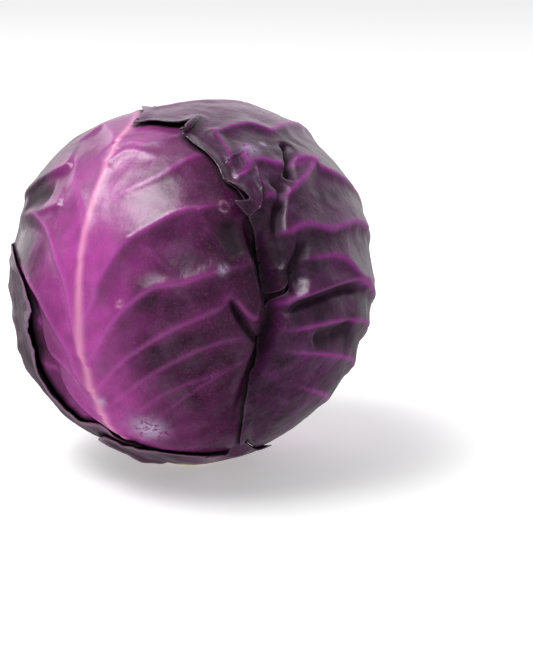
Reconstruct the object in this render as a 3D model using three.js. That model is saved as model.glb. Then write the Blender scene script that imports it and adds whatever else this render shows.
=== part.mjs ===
// A head of red cabbage, cut from its plant and standing on the cut end of its stem.
//
// Five loose outer leaves wrap a dense heart of packed inner leaves, and the stem runs up inside the heart as
// its core. Each outer leaf is a thin blade with a raised midrib, raised side veins, folds and a torn or
// waved edge.
// Millimetres, +Z up, origin at the middle of the stem's cut face. -Y is the front.
//
// A place on the head is an angle pair in a leaf's own chart: "along" is the angle from the foot of the head,
// over the front of the leaf, and "across" is the angle off that line, to the right as the leaf is looked at.

import * as THREE from "three";

// Whole head
const SKIN_RADIUS = 75;
const CENTRE_HEIGHT = 73.5;
const FOOT_CLEARANCE = 2.2; // lowest leaf surface above the cut face
const HEART_DEPTH = 8.8; // heart's surface under the skin
const HEART_FOOT_DEPTH = 13.5; // the same under the head, where leaf bases are stacked

// Where the packed leaves bulge the head: outward direction, height and reach
const BULGES = [
  { direction: [0.79, 0.16, 0.59], height: 4.4, reach: 42 },
  { direction: [0.35, 0.24, 0.9], height: 3.0, reach: 26 },
  { direction: [-0.67, 0.19, 0.71], height: 2.6, reach: 30 },
  { direction: [-0.85, -0.14, -0.52], height: 2.0, reach: 22 },
];

// Leaves
const BLADE = 1.15; // blade thickness
const GAP = 0.5; // air between layers
const TUCK = 7; // how far inside its edge a leaf settles on what is under it
const STEP_RAMP = 9; // how far outside an edge the leaf above takes to come down
const CLEAR_ROUND = 4.4; // a leaf clears the highest thing this far round each point
const CLEAR_STEP = 0.9; // and each further layer looks this much wider, over the ones below
const SINK = 3.4; // a leaf lies this much deeper where another covers it
const SETTLE = 1.7; // leaf surface between the veins, under the head's mean skin
const CREST_ROUNDING = 0.7;

// Stem and core
const STEM_RADIUS = 16.5;
const STEM_HEIGHT = 15;
const CORE_TOP = 84;
const CORE_GAP = 0.7;

const RAD = Math.PI / 180;
const UP = new THREE.Vector3(0, 0, 1);
const CENTRE = new THREE.Vector3(0, 0, CENTRE_HEIGHT);

const clamp01 = (x) => Math.min(1, Math.max(0, x));
const lerp = (a, b, t) => a + (b - a) * t;
const smooth = (low, high, x) => {
  const t = clamp01((x - low) / (high - low));
  return t * t * (3 - 2 * t);
};
// The larger of two heights, with a soft corner.
const softMax = (a, b, round) => 0.5 * (a + b + Math.hypot(a - b, round));

// Charts

function chartAxes(azimuth) {
  const a = azimuth * RAD;
  const outward = new THREE.Vector3(Math.sin(a), -Math.cos(a), 0);
  return { outward, right: new THREE.Vector3().crossVectors(UP, outward) };
}

function fromChart(axes, [along, across]) {
  const [a, b] = [along * RAD, across * RAD];
  return new THREE.Vector3()
    .addScaledVector(axes.outward, Math.cos(b) * Math.sin(a))
    .addScaledVector(UP, -Math.cos(b) * Math.cos(a))
    .addScaledVector(axes.right, Math.sin(b));
}

function toChart(axes, dir) {
  const across = Math.asin(THREE.MathUtils.clamp(dir.dot(axes.right), -1, 1)) / RAD;
  const along = Math.atan2(dir.dot(axes.outward), -dir.z) / RAD;
  return [along < -90 ? along + 360 : along, across];
}

// A smooth line through chart points, at parameter 0 to 1 spread evenly over the points.
function alongPoints(points, t) {
  const x = clamp01(t) * (points.length - 1);
  const i = Math.min(Math.floor(x), points.length - 2);
  const f = x - i;
  const at = (k) => points[Math.min(points.length - 1, Math.max(0, k))];
  const [p, q, r, s] = [at(i - 1), at(i), at(i + 1), at(i + 2)];
  return [0, 1].map(
    (n) =>
      0.5 *
      (2 * q[n] +
        (r[n] - p[n]) * f +
        (2 * p[n] - 5 * q[n] + 4 * r[n] - s[n]) * f * f +
        (3 * q[n] - p[n] - 3 * r[n] + s[n]) * f * f * f),
  );
}

// A line on the head, as short straight steps between unit vectors.
class Line {
  constructor(axes, points, steps = (points.length - 1) * 3) {
    const at = (i) => fromChart(axes, alongPoints(points, i / steps));
    this.points = Array.from({ length: steps + 1 }, (_, i) => at(i));
  }

  // Distance in mm from a direction to the line, how far along it that is, the nearest direction, and the
  // side of the line that it lies on, from -1 to 1.
  nearest(dir) {
    let best = { distance: Infinity, along: 0, point: dir, side: 0 };
    const [step, toDir, spot] = [new THREE.Vector3(), new THREE.Vector3(), new THREE.Vector3()];
    const normal = new THREE.Vector3();
    for (let i = 0; i < this.points.length - 1; i++) {
      step.subVectors(this.points[i + 1], this.points[i]);
      toDir.subVectors(dir, this.points[i]);
      const t = clamp01(toDir.dot(step) / step.lengthSq());
      spot.copy(this.points[i]).addScaledVector(step, t);
      const distance = spot.distanceTo(dir) * SKIN_RADIUS;
      if (distance >= best.distance) continue;
      normal.crossVectors(this.points[i], step).normalize();
      const side = THREE.MathUtils.clamp((toDir.dot(normal) * SKIN_RADIUS) / (distance + 1e-6), -1, 1);
      best = { distance, along: (i + t) / (this.points.length - 1), point: spot.clone().normalize(), side };
    }
    return best;
  }
}

// Ridges, folds and lumps

// A raised vein: a crest with hollow flanks, lower towards its far end. above is the width of the flank on
// the leaf tip's side, fade is how much lower the far end is, and root the share of the length over which the
// crest comes up.
const ridge = (height, width, points, above = width, fade = 0.55, root = 0.03) => ({
  kind: "ridge", height, width, above, points, fade, root,
});
// A fold pressed in: a narrow trough that fades at both ends.
const fold = (depth, width, points) => ({ kind: "fold", height: -depth, width, points });

function featureHeight(feature, dir) {
  const { distance, along, side } = feature.line.nearest(dir);
  if (distance > 4 * Math.max(feature.width, feature.above ?? 0)) return 0;
  if (feature.kind === "ridge") {
    const width = lerp(feature.width, feature.above, 0.5 + 0.5 * side * feature.up);
    const crest = Math.exp(-(Math.hypot(distance, CREST_ROUNDING) - CREST_ROUNDING) / width);
    const ends = smooth(1.08, 0.85, along) * smooth(-0.02, feature.root, along);
    return feature.height * crest * (1 - feature.fade * along) * ends;
  }
  const trough = Math.exp(-((distance / feature.width) ** 2));
  return feature.height * trough * smooth(0, 0.18, along) * smooth(1, 0.82, along);
}

// Slow swells over the head, as a sum of waves in fixed directions.
function swell(dir, scale, phase) {
  let sum = 0;
  for (let i = 0; i < 5; i++) {
    const turn = 2.4 * i + phase;
    const lean = Math.cos(1.7 * i + phase);
    const flat = Math.sqrt(1 - lean * lean);
    const wave = new THREE.Vector3(flat * Math.cos(turn), flat * Math.sin(turn), lean);
    sum += Math.sin(scale * (1 + 0.23 * i) * dir.dot(wave) + 1.3 * phase + 2.1 * i);
  }
  return sum / 5;
}

// Side veins that leave the midrib in pairs, rise steeply and then bend outwards.
function sideVeins({ midrib, side, starts, rise, bend, reach, height, width }) {
  return starts.map((start, n) => {
    const points = [0, 1, 2, 3, 4, 5].map((k) => {
      const off = (reach * k) / 5;
      const wobble = k ? 1.6 * Math.sin(2.2 * n + 1.9 * k + side) : 0;
      return [start + rise * (1 - Math.exp(-off / bend)) + wobble, midribAcross(midrib, start) + side * off];
    });
    return ridge(height, width, points);
  });
}

function midribAcross(midrib, along) {
  for (let i = 1; i < midrib.length; i++) {
    const [a, b] = [midrib[i - 1], midrib[i]];
    if (along <= b[0]) return lerp(a[1], b[1], clamp01((along - a[0]) / (b[0] - a[0])));
  }
  return midrib[midrib.length - 1][1];
}

// The leaves, from the innermost out. Each edge list runs from the leaf's foot to its tip.

const BACK_LEAF = {
  name: "leaf_back",
  azimuth: 186,
  midrib: [[15.5, 0], [90, 3], [150, 0], [186, -4]],
  left: [
    [15.5, -12], [27, -32], [42, -50], [68, -62], [100, -66], [132, -62], [158, -50], [177, -32], [188, -14],
  ],
  right: [
    [15.5, 12], [24, 30], [33, 45], [44, 60], [56, 71], [75, 75], [95, 76], [115, 75], [133, 71],
    [148, 63], [160, 52], [170, 40], [180, 26], [188, 12],
  ],
  middle: [15.5, 21, 30, 45, 68, 98, 130, 160, 188],
  rows: 20,
  columns: 16,
  bow: [2, 2],
  air: GAP,
  rib: { height: 2.4, width: 5.5 },
  swell: { height: 0.9, scale: 7, phase: 4.4 },
  lift: [],
};
BACK_LEAF.features = [-1, 1].flatMap((side) =>
  sideVeins({
    midrib: BACK_LEAF.midrib, side, starts: [44, 58, 73, 90, 110, 132],
    rise: 42, bend: 20, reach: 62, height: 1.9, width: 4,
  }),
);

const FRONT_LEAF = {
  name: "leaf_front",
  azimuth: -37,
  midrib: [
    [15, 2.5], [30, 3.2], [45, 3.8], [55, 4.4], [66, 5], [80, 4.2], [93, 3.1], [105, 1.7],
    [117, 0.2], [127, -1.5], [140, -3.4], [152, -5.2], [160, -7.4], [167, -10.8], [177, -17.5], [190, -25],
  ],
  left: [
    [15, -8], [19, -25], [29, -42], [42, -55], [57, -64], [74, -69], [90, -71], [105, -70], [119, -67],
    [132, -62], [144, -56], [155, -50], [165, -44], [174, -39], [182, -35], [189, -32], [194, -29],
  ],
  right: [
    [15, 12], [17, 29], [23, 46], [36, 60], [55, 68], [76, 72], [95, 73], [109, 73], [122, 71],
    [135, 68], [147, 63], [158, 57], [168, 49], [177, 40], [185, 29], [190, 14], [194, -4],
  ],
  middle: [15, 19, 24, 30, 36, 43, 51, 60, 70, 81, 93, 106, 120, 135, 150, 166, 188],
  rows: 34,
  columns: 26,
  bow: [2.2, 2.2],
  air: GAP,
  rib: { height: 1.9, width: 4 },
  swell: { height: 0.8, scale: 6, phase: 1.2 },
  lift: [],
  features: [
    // Side veins to the right of the midrib, from the lowest up
    ridge(1.4, 4.5, [[33, 3.4], [45, 10], [56, 20], [66, 34], [74, 50], [78, 62]], 6),
    ridge(
      2.4, 3.8,
      [[44, 4], [52.3, 6.5], [60.8, 15.9], [67.2, 25.5], [71.1, 35.3], [72.7, 44.5], [76, 56]],
      6,
    ),
    ridge(
      2.4, 3.6,
      [[54, 4.4], [63.3, 8], [70.1, 16.2], [75.9, 24.2], [80.5, 32.2], [84.4, 39.7], [87, 51.6]],
      7, 0.3,
    ),
    ridge(3.8, 3.2, [[66, 5], [77, 12.5], [88.8, 26.8], [96.4, 38.3], [102.3, 45.8], [105.6, 47.5]], 7, 0.1),
    ridge(3.6, 2.4, [[105.6, 47.5], [104.4, 50.4], [101, 52.8], [98.2, 55.1], [97.2, 58.2]], 4, 0.2),
    ridge(
      5.0, 3.4,
      [[78, 4.6], [88.1, 11.3], [96.7, 16.9], [103.5, 23.2], [108.2, 32.8], [115.1, 41.9], [125.5, 53.1]],
      7, 0.2,
    ),
    ridge(
      5.6, 3.4,
      [[92, 3.6], [103.9, 8.8], [114.2, 12.9], [123.5, 20.2], [133.5, 29], [138.7, 34.9], [143.8, 38.4]],
      11, 0.2, 0.2,
    ),
    ridge(2.0, 3.2, [[128, 3], [134.1, 8.5], [143.3, 16.4], [154.6, 21.3], [159, 26]], 9, 0.2, 0.5),
    ridge(1.8, 3.0, [[141, -3.4], [148.1, 1.2], [148.3, 8.4], [147.2, 11.5]], 4),
    ridge(1.8, 3.0, [[147, -4.5], [152.1, 2.3], [159.7, 11.7], [163, 18]], 5),
    // Side veins to the left
    ridge(2.2, 3.8, [[42, 3.8], [55, 0], [64, -7], [70, -16], [74, -28], [77, -42]], 7),
    ridge(3.0, 3.4, [[60, 4.7], [73, -1.5], [79.7, -12.7], [83.7, -16.5], [87, -26], [90, -42]], 7),
    ridge(
      4.2, 3.4,
      [[70, 4.9], [82.3, -1.5], [91.6, -9.9], [97.9, -17.7], [103.4, -28.9], [107, -44]],
      8, 0.3,
    ),
    ridge(4.4, 3.4, [[81, 4], [96.3, -0.1], [108.6, -7.7], [118, -16.3], [123, -29.8], [125, -44]], 9, 0.3),
    ridge(2.4, 3.2, [[109, 1.2], [121, -1.4], [130.1, -8.2], [142.4, -17.2], [148, -28]], 6),
    ridge(3.2, 2.8, [[140.8, -17.9], [137.4, -27.5], [135.1, -34.8], [133, -46]], 7, 0.1),
    ridge(2.4, 3.0, [[150, -5.2], [158, -14], [161.8, -19.3], [154.2, -24.9], [151, -34]], 6),
    // A crease that crosses from vein to vein
    ridge(3.6, 5.5, [[134.5, 31.8], [128.2, 38], [119, 46.2]], 1.6, 0.1),
    // Folds
    fold(4.2, 2.4, [[107, 47.6], [98.8, 51.3], [92.3, 54], [86, 56.5], [80, 60]]),
    fold(1.4, 3.5, [[138, 40], [131, 44], [125, 48]]),
    fold(1.6, 4.0, [[130, -20], [129, -30], [127, -40]]),
  ],
};

const RIGHT_MIDRIB = [[15, 2], [40, 12], [80, 19], [120, 18], [155, 10], [190, 4]];

const RIGHT_LEAF = {
  name: "leaf_right",
  azimuth: 100,
  midrib: RIGHT_MIDRIB,
  left: [
    [15, -9], [14, -22], [12, -36], [12, -50], [17, -61], [28, -68], [42, -71], [56, -73], [70, -74.5],
    [80, -75], [93, -74.5], [106, -72.5], [116, -68.5], [125, -69.3], [135.3, -66.5], [144, -62.7],
    [150.5, -59.2], [158, -55.5], [163, -52.8], [168.5, -47], [175.2, -42.7], [180, -33.2], [185, -25.9],
    [186.4, -22.5], [182, -17.5], [181, -13.5], [188.6, -14.5], [193.8, -11.2], [198.8, -8.8],
  ],
  right: [
    [15, 13], [18, 23], [24, 35], [33, 47], [44, 57], [57, 64], [72, 69], [88, 72], [104, 73],
    [120, 71], [135, 67], [149, 61], [162, 52], [174, 42], [184, 31], [190, 20], [193, 10], [196.3, -5.2],
  ],
  middle: [15, 19, 24, 30, 37, 45, 54, 64, 76, 89, 103, 117, 132, 148, 165, 182, 197],
  rows: 37,
  columns: 27,
  bow: [-0.4, 2],
  air: GAP,
  rib: { height: 2.4, width: 5.5 },
  swell: { height: 0.8, scale: 8, phase: 2.7 },
  lift: [[190, -13, 0.9], [175, -40, 0.6], [186, -22, 0.6]],
  cleftShare: 0.5,
  features: [
    // Crests on the side that faces the front, from the top down
    ridge(
      2.6, 3.0,
      [[119, 18], [130, 13], [140, 6], [155.3, -14.3], [162.8, -14.7], [171.7, -19.8], [178, -24]],
      6, 0.2, 0.3,
    ),
    ridge(
      3.0, 2.6,
      [
        [90, 19], [110, -1], [129.5, -16.7], [137.6, -21.6], [143.3, -21.8], [151.7, -31], [161.4, -32.3],
        [170, -40],
      ],
      7, 0.3, 0.4,
    ),
    ridge(3.0, 2.6, [[139.9, -17.8], [142.2, -29.7], [149.9, -43.6], [158.7, -46.3]], 6, 0.1),
    ridge(
      4.0, 2.6,
      [
        [76, 18], [98, -1], [111.7, -18], [120, -31.6], [123.9, -39.5], [132.9, -45.1], [140.9, -52.7],
        [150, -57],
      ],
      9, 0.15, 0.5,
    ),
    ridge(
      3.6, 2.6,
      [[86, 10], [93, -17], [101.2, -35.9], [110.9, -40.8], [118.9, -48.8], [125.6, -57.2]],
      8, 0.1, 0.45,
    ),
    ridge(
      4.6, 2.6,
      [[60, 16], [82, -6], [91, -22], [99.8, -36.4], [104.1, -49.6], [107.3, -60.4], [107.2, -72.2]],
      7, 0.1, 0.45,
    ),
    ridge(
      3.2, 3.2,
      [[46, 13], [66, 0], [76, -16], [83, -32], [87, -48], [88, -62], [86, -70]],
      7, 0.3, 0.4,
    ),
    ridge(
      2.8, 3.2,
      [[34, 10], [51, 2], [60, -12], [67, -28], [70, -44], [71, -58], [69, -68]],
      7, 0.3, 0.4,
    ),
    ridge(1.6, 3.4, [[25, 6], [40, -1], [45, -8], [50, -24], [52, -40], [50, -56]], 6),
    ridge(2.4, 2.6, [[164, -27], [165.5, -34.5], [171, -42]], 3.5, 0.1),
    // Folds on that side
    fold(5.5, 2.4, [[158, -38], [149.4, -46.5], [145.4, -55.9], [135.6, -61], [129, -62.5]]),
    fold(4.0, 2.6, [[134, -49], [126.7, -58.7], [120, -66]]),
    fold(4.0, 2.6, [[95, -30], [101, -47.7], [103.4, -60.3], [98, -70]]),
    fold(4.5, 2.4, [[152.5, -19], [149.5, -28.2], [148, -36]]),
    fold(2.4, 3.2, [[84, -40], [80, -50], [79, -60]]),
    ...sideVeins({
      midrib: RIGHT_MIDRIB, side: 1, starts: [34, 47, 61, 77, 95, 115, 138],
      rise: 40, bend: 18, reach: 52, height: 2.1, width: 4,
    }),
  ],
};

const LEFT_LEAF = {
  name: "leaf_left",
  azimuth: -130,
  midrib: [[15, 0], [60, 2], [101, 0]],
  left: [
    [15, -11], [19, -26], [29, -41], [43, -54], [58, -62], [72, -61], [84, -53], [92, -41], [97, -27],
    [99, -13],
  ],
  right: [
    [15, 11], [7, 20], [-1, 28], [-8, 34], [-11, 38.5], [-7, 41.5], [-3, 45], [2, 49], [13, 51],
    [21, 54.8], [29, 58.4], [39, 62.5], [48, 66.5], [58, 68.5], [70, 69], [82, 69.8], [92, 70],
    [104, 66], [113, 60], [114, 52], [109, 41], [104, 30], [101, 15],
  ],
  middle: [15, 18, 23, 29, 37, 47, 58, 70, 83, 101],
  rows: 27,
  columns: 22,
  bow: [1.6, -0.8],
  air: GAP,
  rib: { height: 3.0, width: 6 },
  swell: { height: 1.0, scale: 8, phase: 5.1 },
  lift: [[31, 59, 1.4], [50, 67, 0.9], [76, 69.5, 1.5], [96, 69, 0.9], [8, 50, 0.6]],
};
LEFT_LEAF.features = [-1, 1].flatMap((side) =>
  sideVeins({
    midrib: LEFT_LEAF.midrib, side, starts: [30, 40, 52, 66, 80],
    rise: 28, bend: 20, reach: 56, height: 2.0, width: 4,
  }),
);

const LOW_LEAF = {
  name: "leaf_low_front",
  azimuth: 15,
  midrib: [[15, 0], [40, -2]],
  left: [
    [15, -11], [14.5, -20], [15, -29], [18, -35], [24, -37], [30, -35], [34, -29], [36.5, -20], [37.5, -10],
  ],
  right: [
    [15, 11], [16, 16], [19.5, 19.5], [24.5, 20.5], [29, 19], [32.5, 14.5], [35, 9], [36.5, 3], [37.3, -3],
  ],
  middle: [15, 17, 19.5, 22, 25, 28, 31.5, 34, 36.5],
  rows: 14,
  columns: 20,
  bow: [1.2, 1.2],
  air: 2.0, // over the wavy margin of the left leaf
  rib: { height: 2.0, width: 7 },
  swell: { height: 0.4, scale: 9, phase: 0.6 },
  lift: [[24, -37, 0.3], [37, -4, 0.3]],
};
LOW_LEAF.features = [-1, 1].flatMap((side) =>
  sideVeins({
    midrib: LOW_LEAF.midrib, side, starts: [19, 26], rise: 8, bend: 20, reach: 26, height: 1.4, width: 4,
  }),
);

const LEAVES = [BACK_LEAF, FRONT_LEAF, RIGHT_LEAF, LEFT_LEAF, LOW_LEAF];

// Grooves that every layer follows: the cleft between the front and right leaves, and the hollow under the
// left leaf's edge. A leaf may follow only a share of the cleft.
const CLEFT = {
  azimuth: -37,
  depth: 12.0,
  width: 5.0,
  points: [
    [147, 40], [141, 48], [135, 53.5], [127, 58], [118, 61.5], [110, 63.5], [100, 64.5],
    [90, 63.5], [78, 61], [64, 56], [50, 48], [36, 38],
  ],
};
const HOLLOW = {
  azimuth: -37,
  depth: 4.5,
  width: 5.0,
  points: [[108, -34], [94, -24], [85, -20], [74, -16], [64, -13], [56, -8], [49, -1], [44, 7], [40, 16]],
};

for (const bulge of BULGES) bulge.middle = new THREE.Vector3(...bulge.direction).normalize();

for (const groove of [CLEFT, HOLLOW]) {
  groove.line = new Line(chartAxes(groove.azimuth), groove.points);
}

for (const leaf of LEAVES) {
  leaf.axes = chartAxes(leaf.azimuth);
  leaf.ribLine = new Line(leaf.axes, leaf.midrib);
  for (const feature of leaf.features) {
    feature.line = new Line(leaf.axes, feature.points);
    feature.up = Math.sign(feature.points[feature.points.length - 1][1] - feature.points[0][1]);
  }
  const edge = [...leaf.left, ...leaf.right.slice().reverse()];
  leaf.edgeLine = new Line(leaf.axes, [...edge, edge[0]], edge.length * 2);
  leaf.edgeChart = leaf.edgeLine.points.map((p) => toChart(leaf.axes, p));
  leaf.lifts = leaf.lift.map(([along, across, height]) => {
    return { height, at: fromChart(leaf.axes, [along, across]) };
  });
}

// Heights over the head's centre

function grooveDepth(dir, widen = 1, cleftShare = 1) {
  return [CLEFT, HOLLOW].reduce((sum, { line, depth, width }, n) => {
    const { distance, along } = line.nearest(dir);
    const ends = smooth(0, 0.2, along) * smooth(1, 0.75, along);
    const share = n === 0 ? cleftShare : 1;
    return sum + share * depth * ends * Math.exp(-((distance / (width * widen)) ** 2));
  }, 0);
}

// The outer skin of the whole head, flattened where it stands.
function skinRadius(dir) {
  const round = BULGES.reduce((sum, { middle, height, reach }) => {
    const off = middle.distanceTo(dir) * SKIN_RADIUS;
    return sum + height * Math.exp(-((off / reach) ** 2));
  }, SKIN_RADIUS + 0.7 * swell(dir, 3.2, 0.4));
  if (dir.z >= 0) return round;
  const flat = (CENTRE_HEIGHT - FOOT_CLEARANCE) / -dir.z;
  return -softMax(-round, -flat, 2.5);
}

function heartRadius(dir) {
  const foot = smooth(-0.62, -0.95, dir.z);
  return skinRadius(dir) - lerp(HEART_DEPTH, HEART_FOOT_DEPTH, foot) - 0.6 * grooveDepth(dir, 2.2);
}

// Distance in mm inside a leaf's edge, less than 0 outside it.
function insideEdge(leaf, dir) {
  const [x, y] = toChart(leaf.axes, dir);
  let inside = false;
  const ring = leaf.edgeChart;
  for (let i = 0, j = ring.length - 1; i < ring.length; j = i++) {
    if (ring[i][1] > y === ring[j][1] > y) continue;
    const crossing = lerp(ring[i][0], ring[j][0], (y - ring[i][1]) / (ring[j][1] - ring[i][1]));
    if (x < crossing) inside = !inside;
  }
  const { distance } = leaf.edgeLine.nearest(dir);
  return inside ? distance : -distance;
}

function ribShare(leaf, dir) {
  const { distance, along } = leaf.ribLine.nearest(dir);
  const width = leaf.rib.width * lerp(1.5, 0.55, along);
  return Math.exp(-((distance / width) ** 2)) * lerp(1, 0.35, Math.sqrt(along));
}

const bladeThickness = (leaf, dir) => BLADE + 0.75 * leaf.rib.height * ribShare(leaf, dir);

function relief(leaf, dir) {
  const { height, scale, phase } = leaf.swell;
  const veins = leaf.features.filter((f) => f.kind === "ridge").map((f) => featureHeight(f, dir));
  const folds = leaf.features.filter((f) => f.kind === "fold").map((f) => featureHeight(f, dir));
  const raised = Math.hypot(...veins, leaf.rib.height * ribShare(leaf, dir));
  return raised - SETTLE + folds.reduce((a, b) => a + b, 0) + height * swell(dir, scale, phase);
}

// The surface that layer number "level" rests on: the heart, and each leaf under it.
function supportRadius(dir, level, inside) {
  let radius = heartRadius(dir);
  for (let k = 0; k < level; k++) {
    if (inside[k] <= -STEP_RAMP) continue;
    const outer = outerRadius(dir, k, inside, radius);
    radius = lerp(radius, outer, smooth(-STEP_RAMP, -1, inside[k]));
  }
  return radius;
}

// A leaf's outer surface, over the support it rests on.
function outerRadius(dir, level, inside, support) {
  const leaf = LEAVES[level];
  const covers = inside.slice(level + 1).map((d) => smooth(-3, 6, d));
  const covered = Math.max(0, ...covers);
  const sunk = SINK * Math.max(0, ...inside.slice(level + 1).map((d) => smooth(0, 10, d)));
  const pressed = covers.reduce((a, b) => a + b, 0) * (GAP + BLADE) + sunk;
  const lowest = support + leaf.air + bladeThickness(leaf, dir);
  const skin = skinRadius(dir) - grooveDepth(dir, 1, leaf.cleftShare);
  const wanted = skin + relief(leaf, dir) * (1 - 0.75 * covered) - pressed;
  const spare = softMax(wanted - lowest, 0, 0.6) * smooth(0, TUCK, inside[level]);
  const lifted = leaf.lifts.reduce(
    (sum, { at, height }) => sum + height * Math.exp(-(((at.distanceTo(dir) * SKIN_RADIUS) / 13) ** 2)),
    0,
  );
  return lowest + spare + lifted * smooth(TUCK * 1.6, 0, inside[level]);
}

// Meshes

// A closed thin solid from a grid of directions with an outer and an inner radius each.
function bladeGeometry(grid) {
  const [rows, columns] = [grid.length, grid[0].length];
  const positions = [];
  for (const face of ["outer", "inner"]) {
    for (const cell of grid.flat()) {
      positions.push(...CENTRE.clone().addScaledVector(cell.dir, cell[face]).toArray());
    }
  }
  const index = [];
  const outer = (i, j) => i * columns + j;
  const inner = (i, j) => rows * columns + i * columns + j;
  for (let i = 0; i < rows - 1; i++) {
    for (let j = 0; j < columns - 1; j++) {
      const [a, b, c, d] = [[i, j], [i, j + 1], [i + 1, j + 1], [i + 1, j]];
      index.push(outer(...a), outer(...b), outer(...c), outer(...a), outer(...c), outer(...d));
      index.push(inner(...a), inner(...c), inner(...b), inner(...a), inner(...d), inner(...c));
    }
  }
  const rim = [];
  for (let j = 0; j < columns - 1; j++) rim.push([0, j]);
  for (let i = 0; i < rows - 1; i++) rim.push([i, columns - 1]);
  for (let j = columns - 1; j > 0; j--) rim.push([rows - 1, j]);
  for (let i = rows - 1; i > 0; i--) rim.push([i, 0]);
  rim.forEach((p, n) => {
    const q = rim[(n + 1) % rim.length];
    index.push(outer(...q), outer(...p), inner(...p), outer(...q), inner(...p), inner(...q));
  });
  return geometryOf(positions, index);
}

function geometryOf(positions, index) {
  const geometry = new THREE.BufferGeometry();
  geometry.setAttribute("position", new THREE.Float32BufferAttribute(positions, 3));
  geometry.setIndex(index);
  geometry.computeVertexNormals();
  return geometry;
}

// The chart point of row share s and column share v, from -1 at the left edge to 1 at the right.
function leafPoint(leaf, s, v) {
  const edge = alongPoints(v < 0 ? leaf.left : leaf.right, s);
  const middleAlong = alongPoints(leaf.middle.map((m) => [m, 0]), s)[0];
  const middle = [middleAlong, midribAcross(leaf.midrib, middleAlong)];
  const out = Math.abs(v);
  const bow = leaf.bow[v < 0 ? 0 : 1];
  const climb = (1 - Math.exp(-bow * out)) / (1 - Math.exp(-bow));
  return [lerp(middle[0], edge[0], climb), lerp(middle[1], edge[1], out)];
}

// Grid points close to a vein move onto its line, so that the crests are sharp.
function snapToLines(leaf, dirs) {
  const lines = leaf.features.filter((f) => f.kind === "ridge").map((f) => f.line);
  return dirs.map((row, i) =>
    row.map((dir, j) => {
      if (i === 0 || j === 0 || i === dirs.length - 1 || j === row.length - 1) return dir;
      if (2 * j === row.length - 1) return dir;
      const beside = [dirs[i - 1][j], dirs[i + 1][j], row[j - 1], row[j + 1]];
      const spans = beside.map((d) => d.distanceTo(dir) * SKIN_RADIUS);
      const near = lines.map((line) => line.nearest(dir)).sort((a, b) => a.distance - b.distance)[0];
      return near.distance < 0.36 * Math.min(...spans) ? near.point : dir;
    }),
  );
}

function leafGeometry(level) {
  const leaf = LEAVES[level];
  const plain = Array.from({ length: leaf.rows + 1 }, (_, i) =>
    Array.from({ length: leaf.columns + 1 }, (_, j) => {
      const v = (2 * j) / leaf.columns - 1;
      const spread = Math.sign(v) * (0.75 * Math.abs(v) + 0.25 * v * v);
      return fromChart(leaf.axes, leafPoint(leaf, i / leaf.rows, spread));
    }),
  );
  return bladeGeometry(
    snapToLines(leaf, plain).map((row) =>
      row.map((dir) => {
        const inside = LEAVES.map((other) => insideEdge(other, dir));
        inside[level] = Math.max(0, inside[level]);
        const outer = outerRadius(dir, level, inside, dilatedSupport(dir, level, inside));
        const thin = lerp(0.75, 1, smooth(0, 3, inside[level]));
        return { dir, outer, inner: outer - bladeThickness(leaf, dir) * thin };
      }),
    ),
  );
}

// The highest support near a direction, so that a leaf clears crests that lie between its grid points.
function dilatedSupport(dir, level, inside) {
  let highest = supportRadius(dir, level, inside);
  const turnFrom = Math.abs(dir.z) < 0.9 ? UP : new THREE.Vector3(1, 0, 0);
  const side = new THREE.Vector3().crossVectors(dir, turnFrom).normalize();
  const ahead = new THREE.Vector3().crossVectors(dir, side);
  const reach = (CLEAR_ROUND + CLEAR_STEP * level) / SKIN_RADIUS;
  for (let k = 0; k < 8; k++) {
    const turn = (k * Math.PI) / 4;
    const spot = dir
      .clone()
      .addScaledVector(side, reach * Math.cos(turn))
      .addScaledVector(ahead, reach * Math.sin(turn))
      .normalize();
    const near = LEAVES.map((other) => insideEdge(other, spot));
    highest = Math.max(highest, supportRadius(spot, level, near));
  }
  return highest;
}

// Radius of the stem and its core at a height over the cut face.
function coreRadius(z) {
  if (z < STEM_HEIGHT) return STEM_RADIUS - 1.5 * smooth(4, STEM_HEIGHT, z);
  const t = (z - STEM_HEIGHT) / (CORE_TOP - STEM_HEIGHT);
  return (STEM_RADIUS - 1.5) * Math.sqrt(1 - t) * lerp(1, 0.55, t);
}

function stemGeometry() {
  const heights = [0, 1.2, 4, 8, 12, STEM_HEIGHT, 22, 32, 44, 56, 68, 78, 82.5];
  const profile = [
    new THREE.Vector2(0, 0),
    ...heights.map((z) => new THREE.Vector2(coreRadius(z) - (z === 0 ? 0.8 : 0), z)),
    new THREE.Vector2(0, CORE_TOP),
  ];
  const geometry = new THREE.LatheGeometry(profile, 24);
  geometry.rotateX(Math.PI / 2); // the lathe turns about Y, and the stem stands along Z
  return geometry;
}

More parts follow.
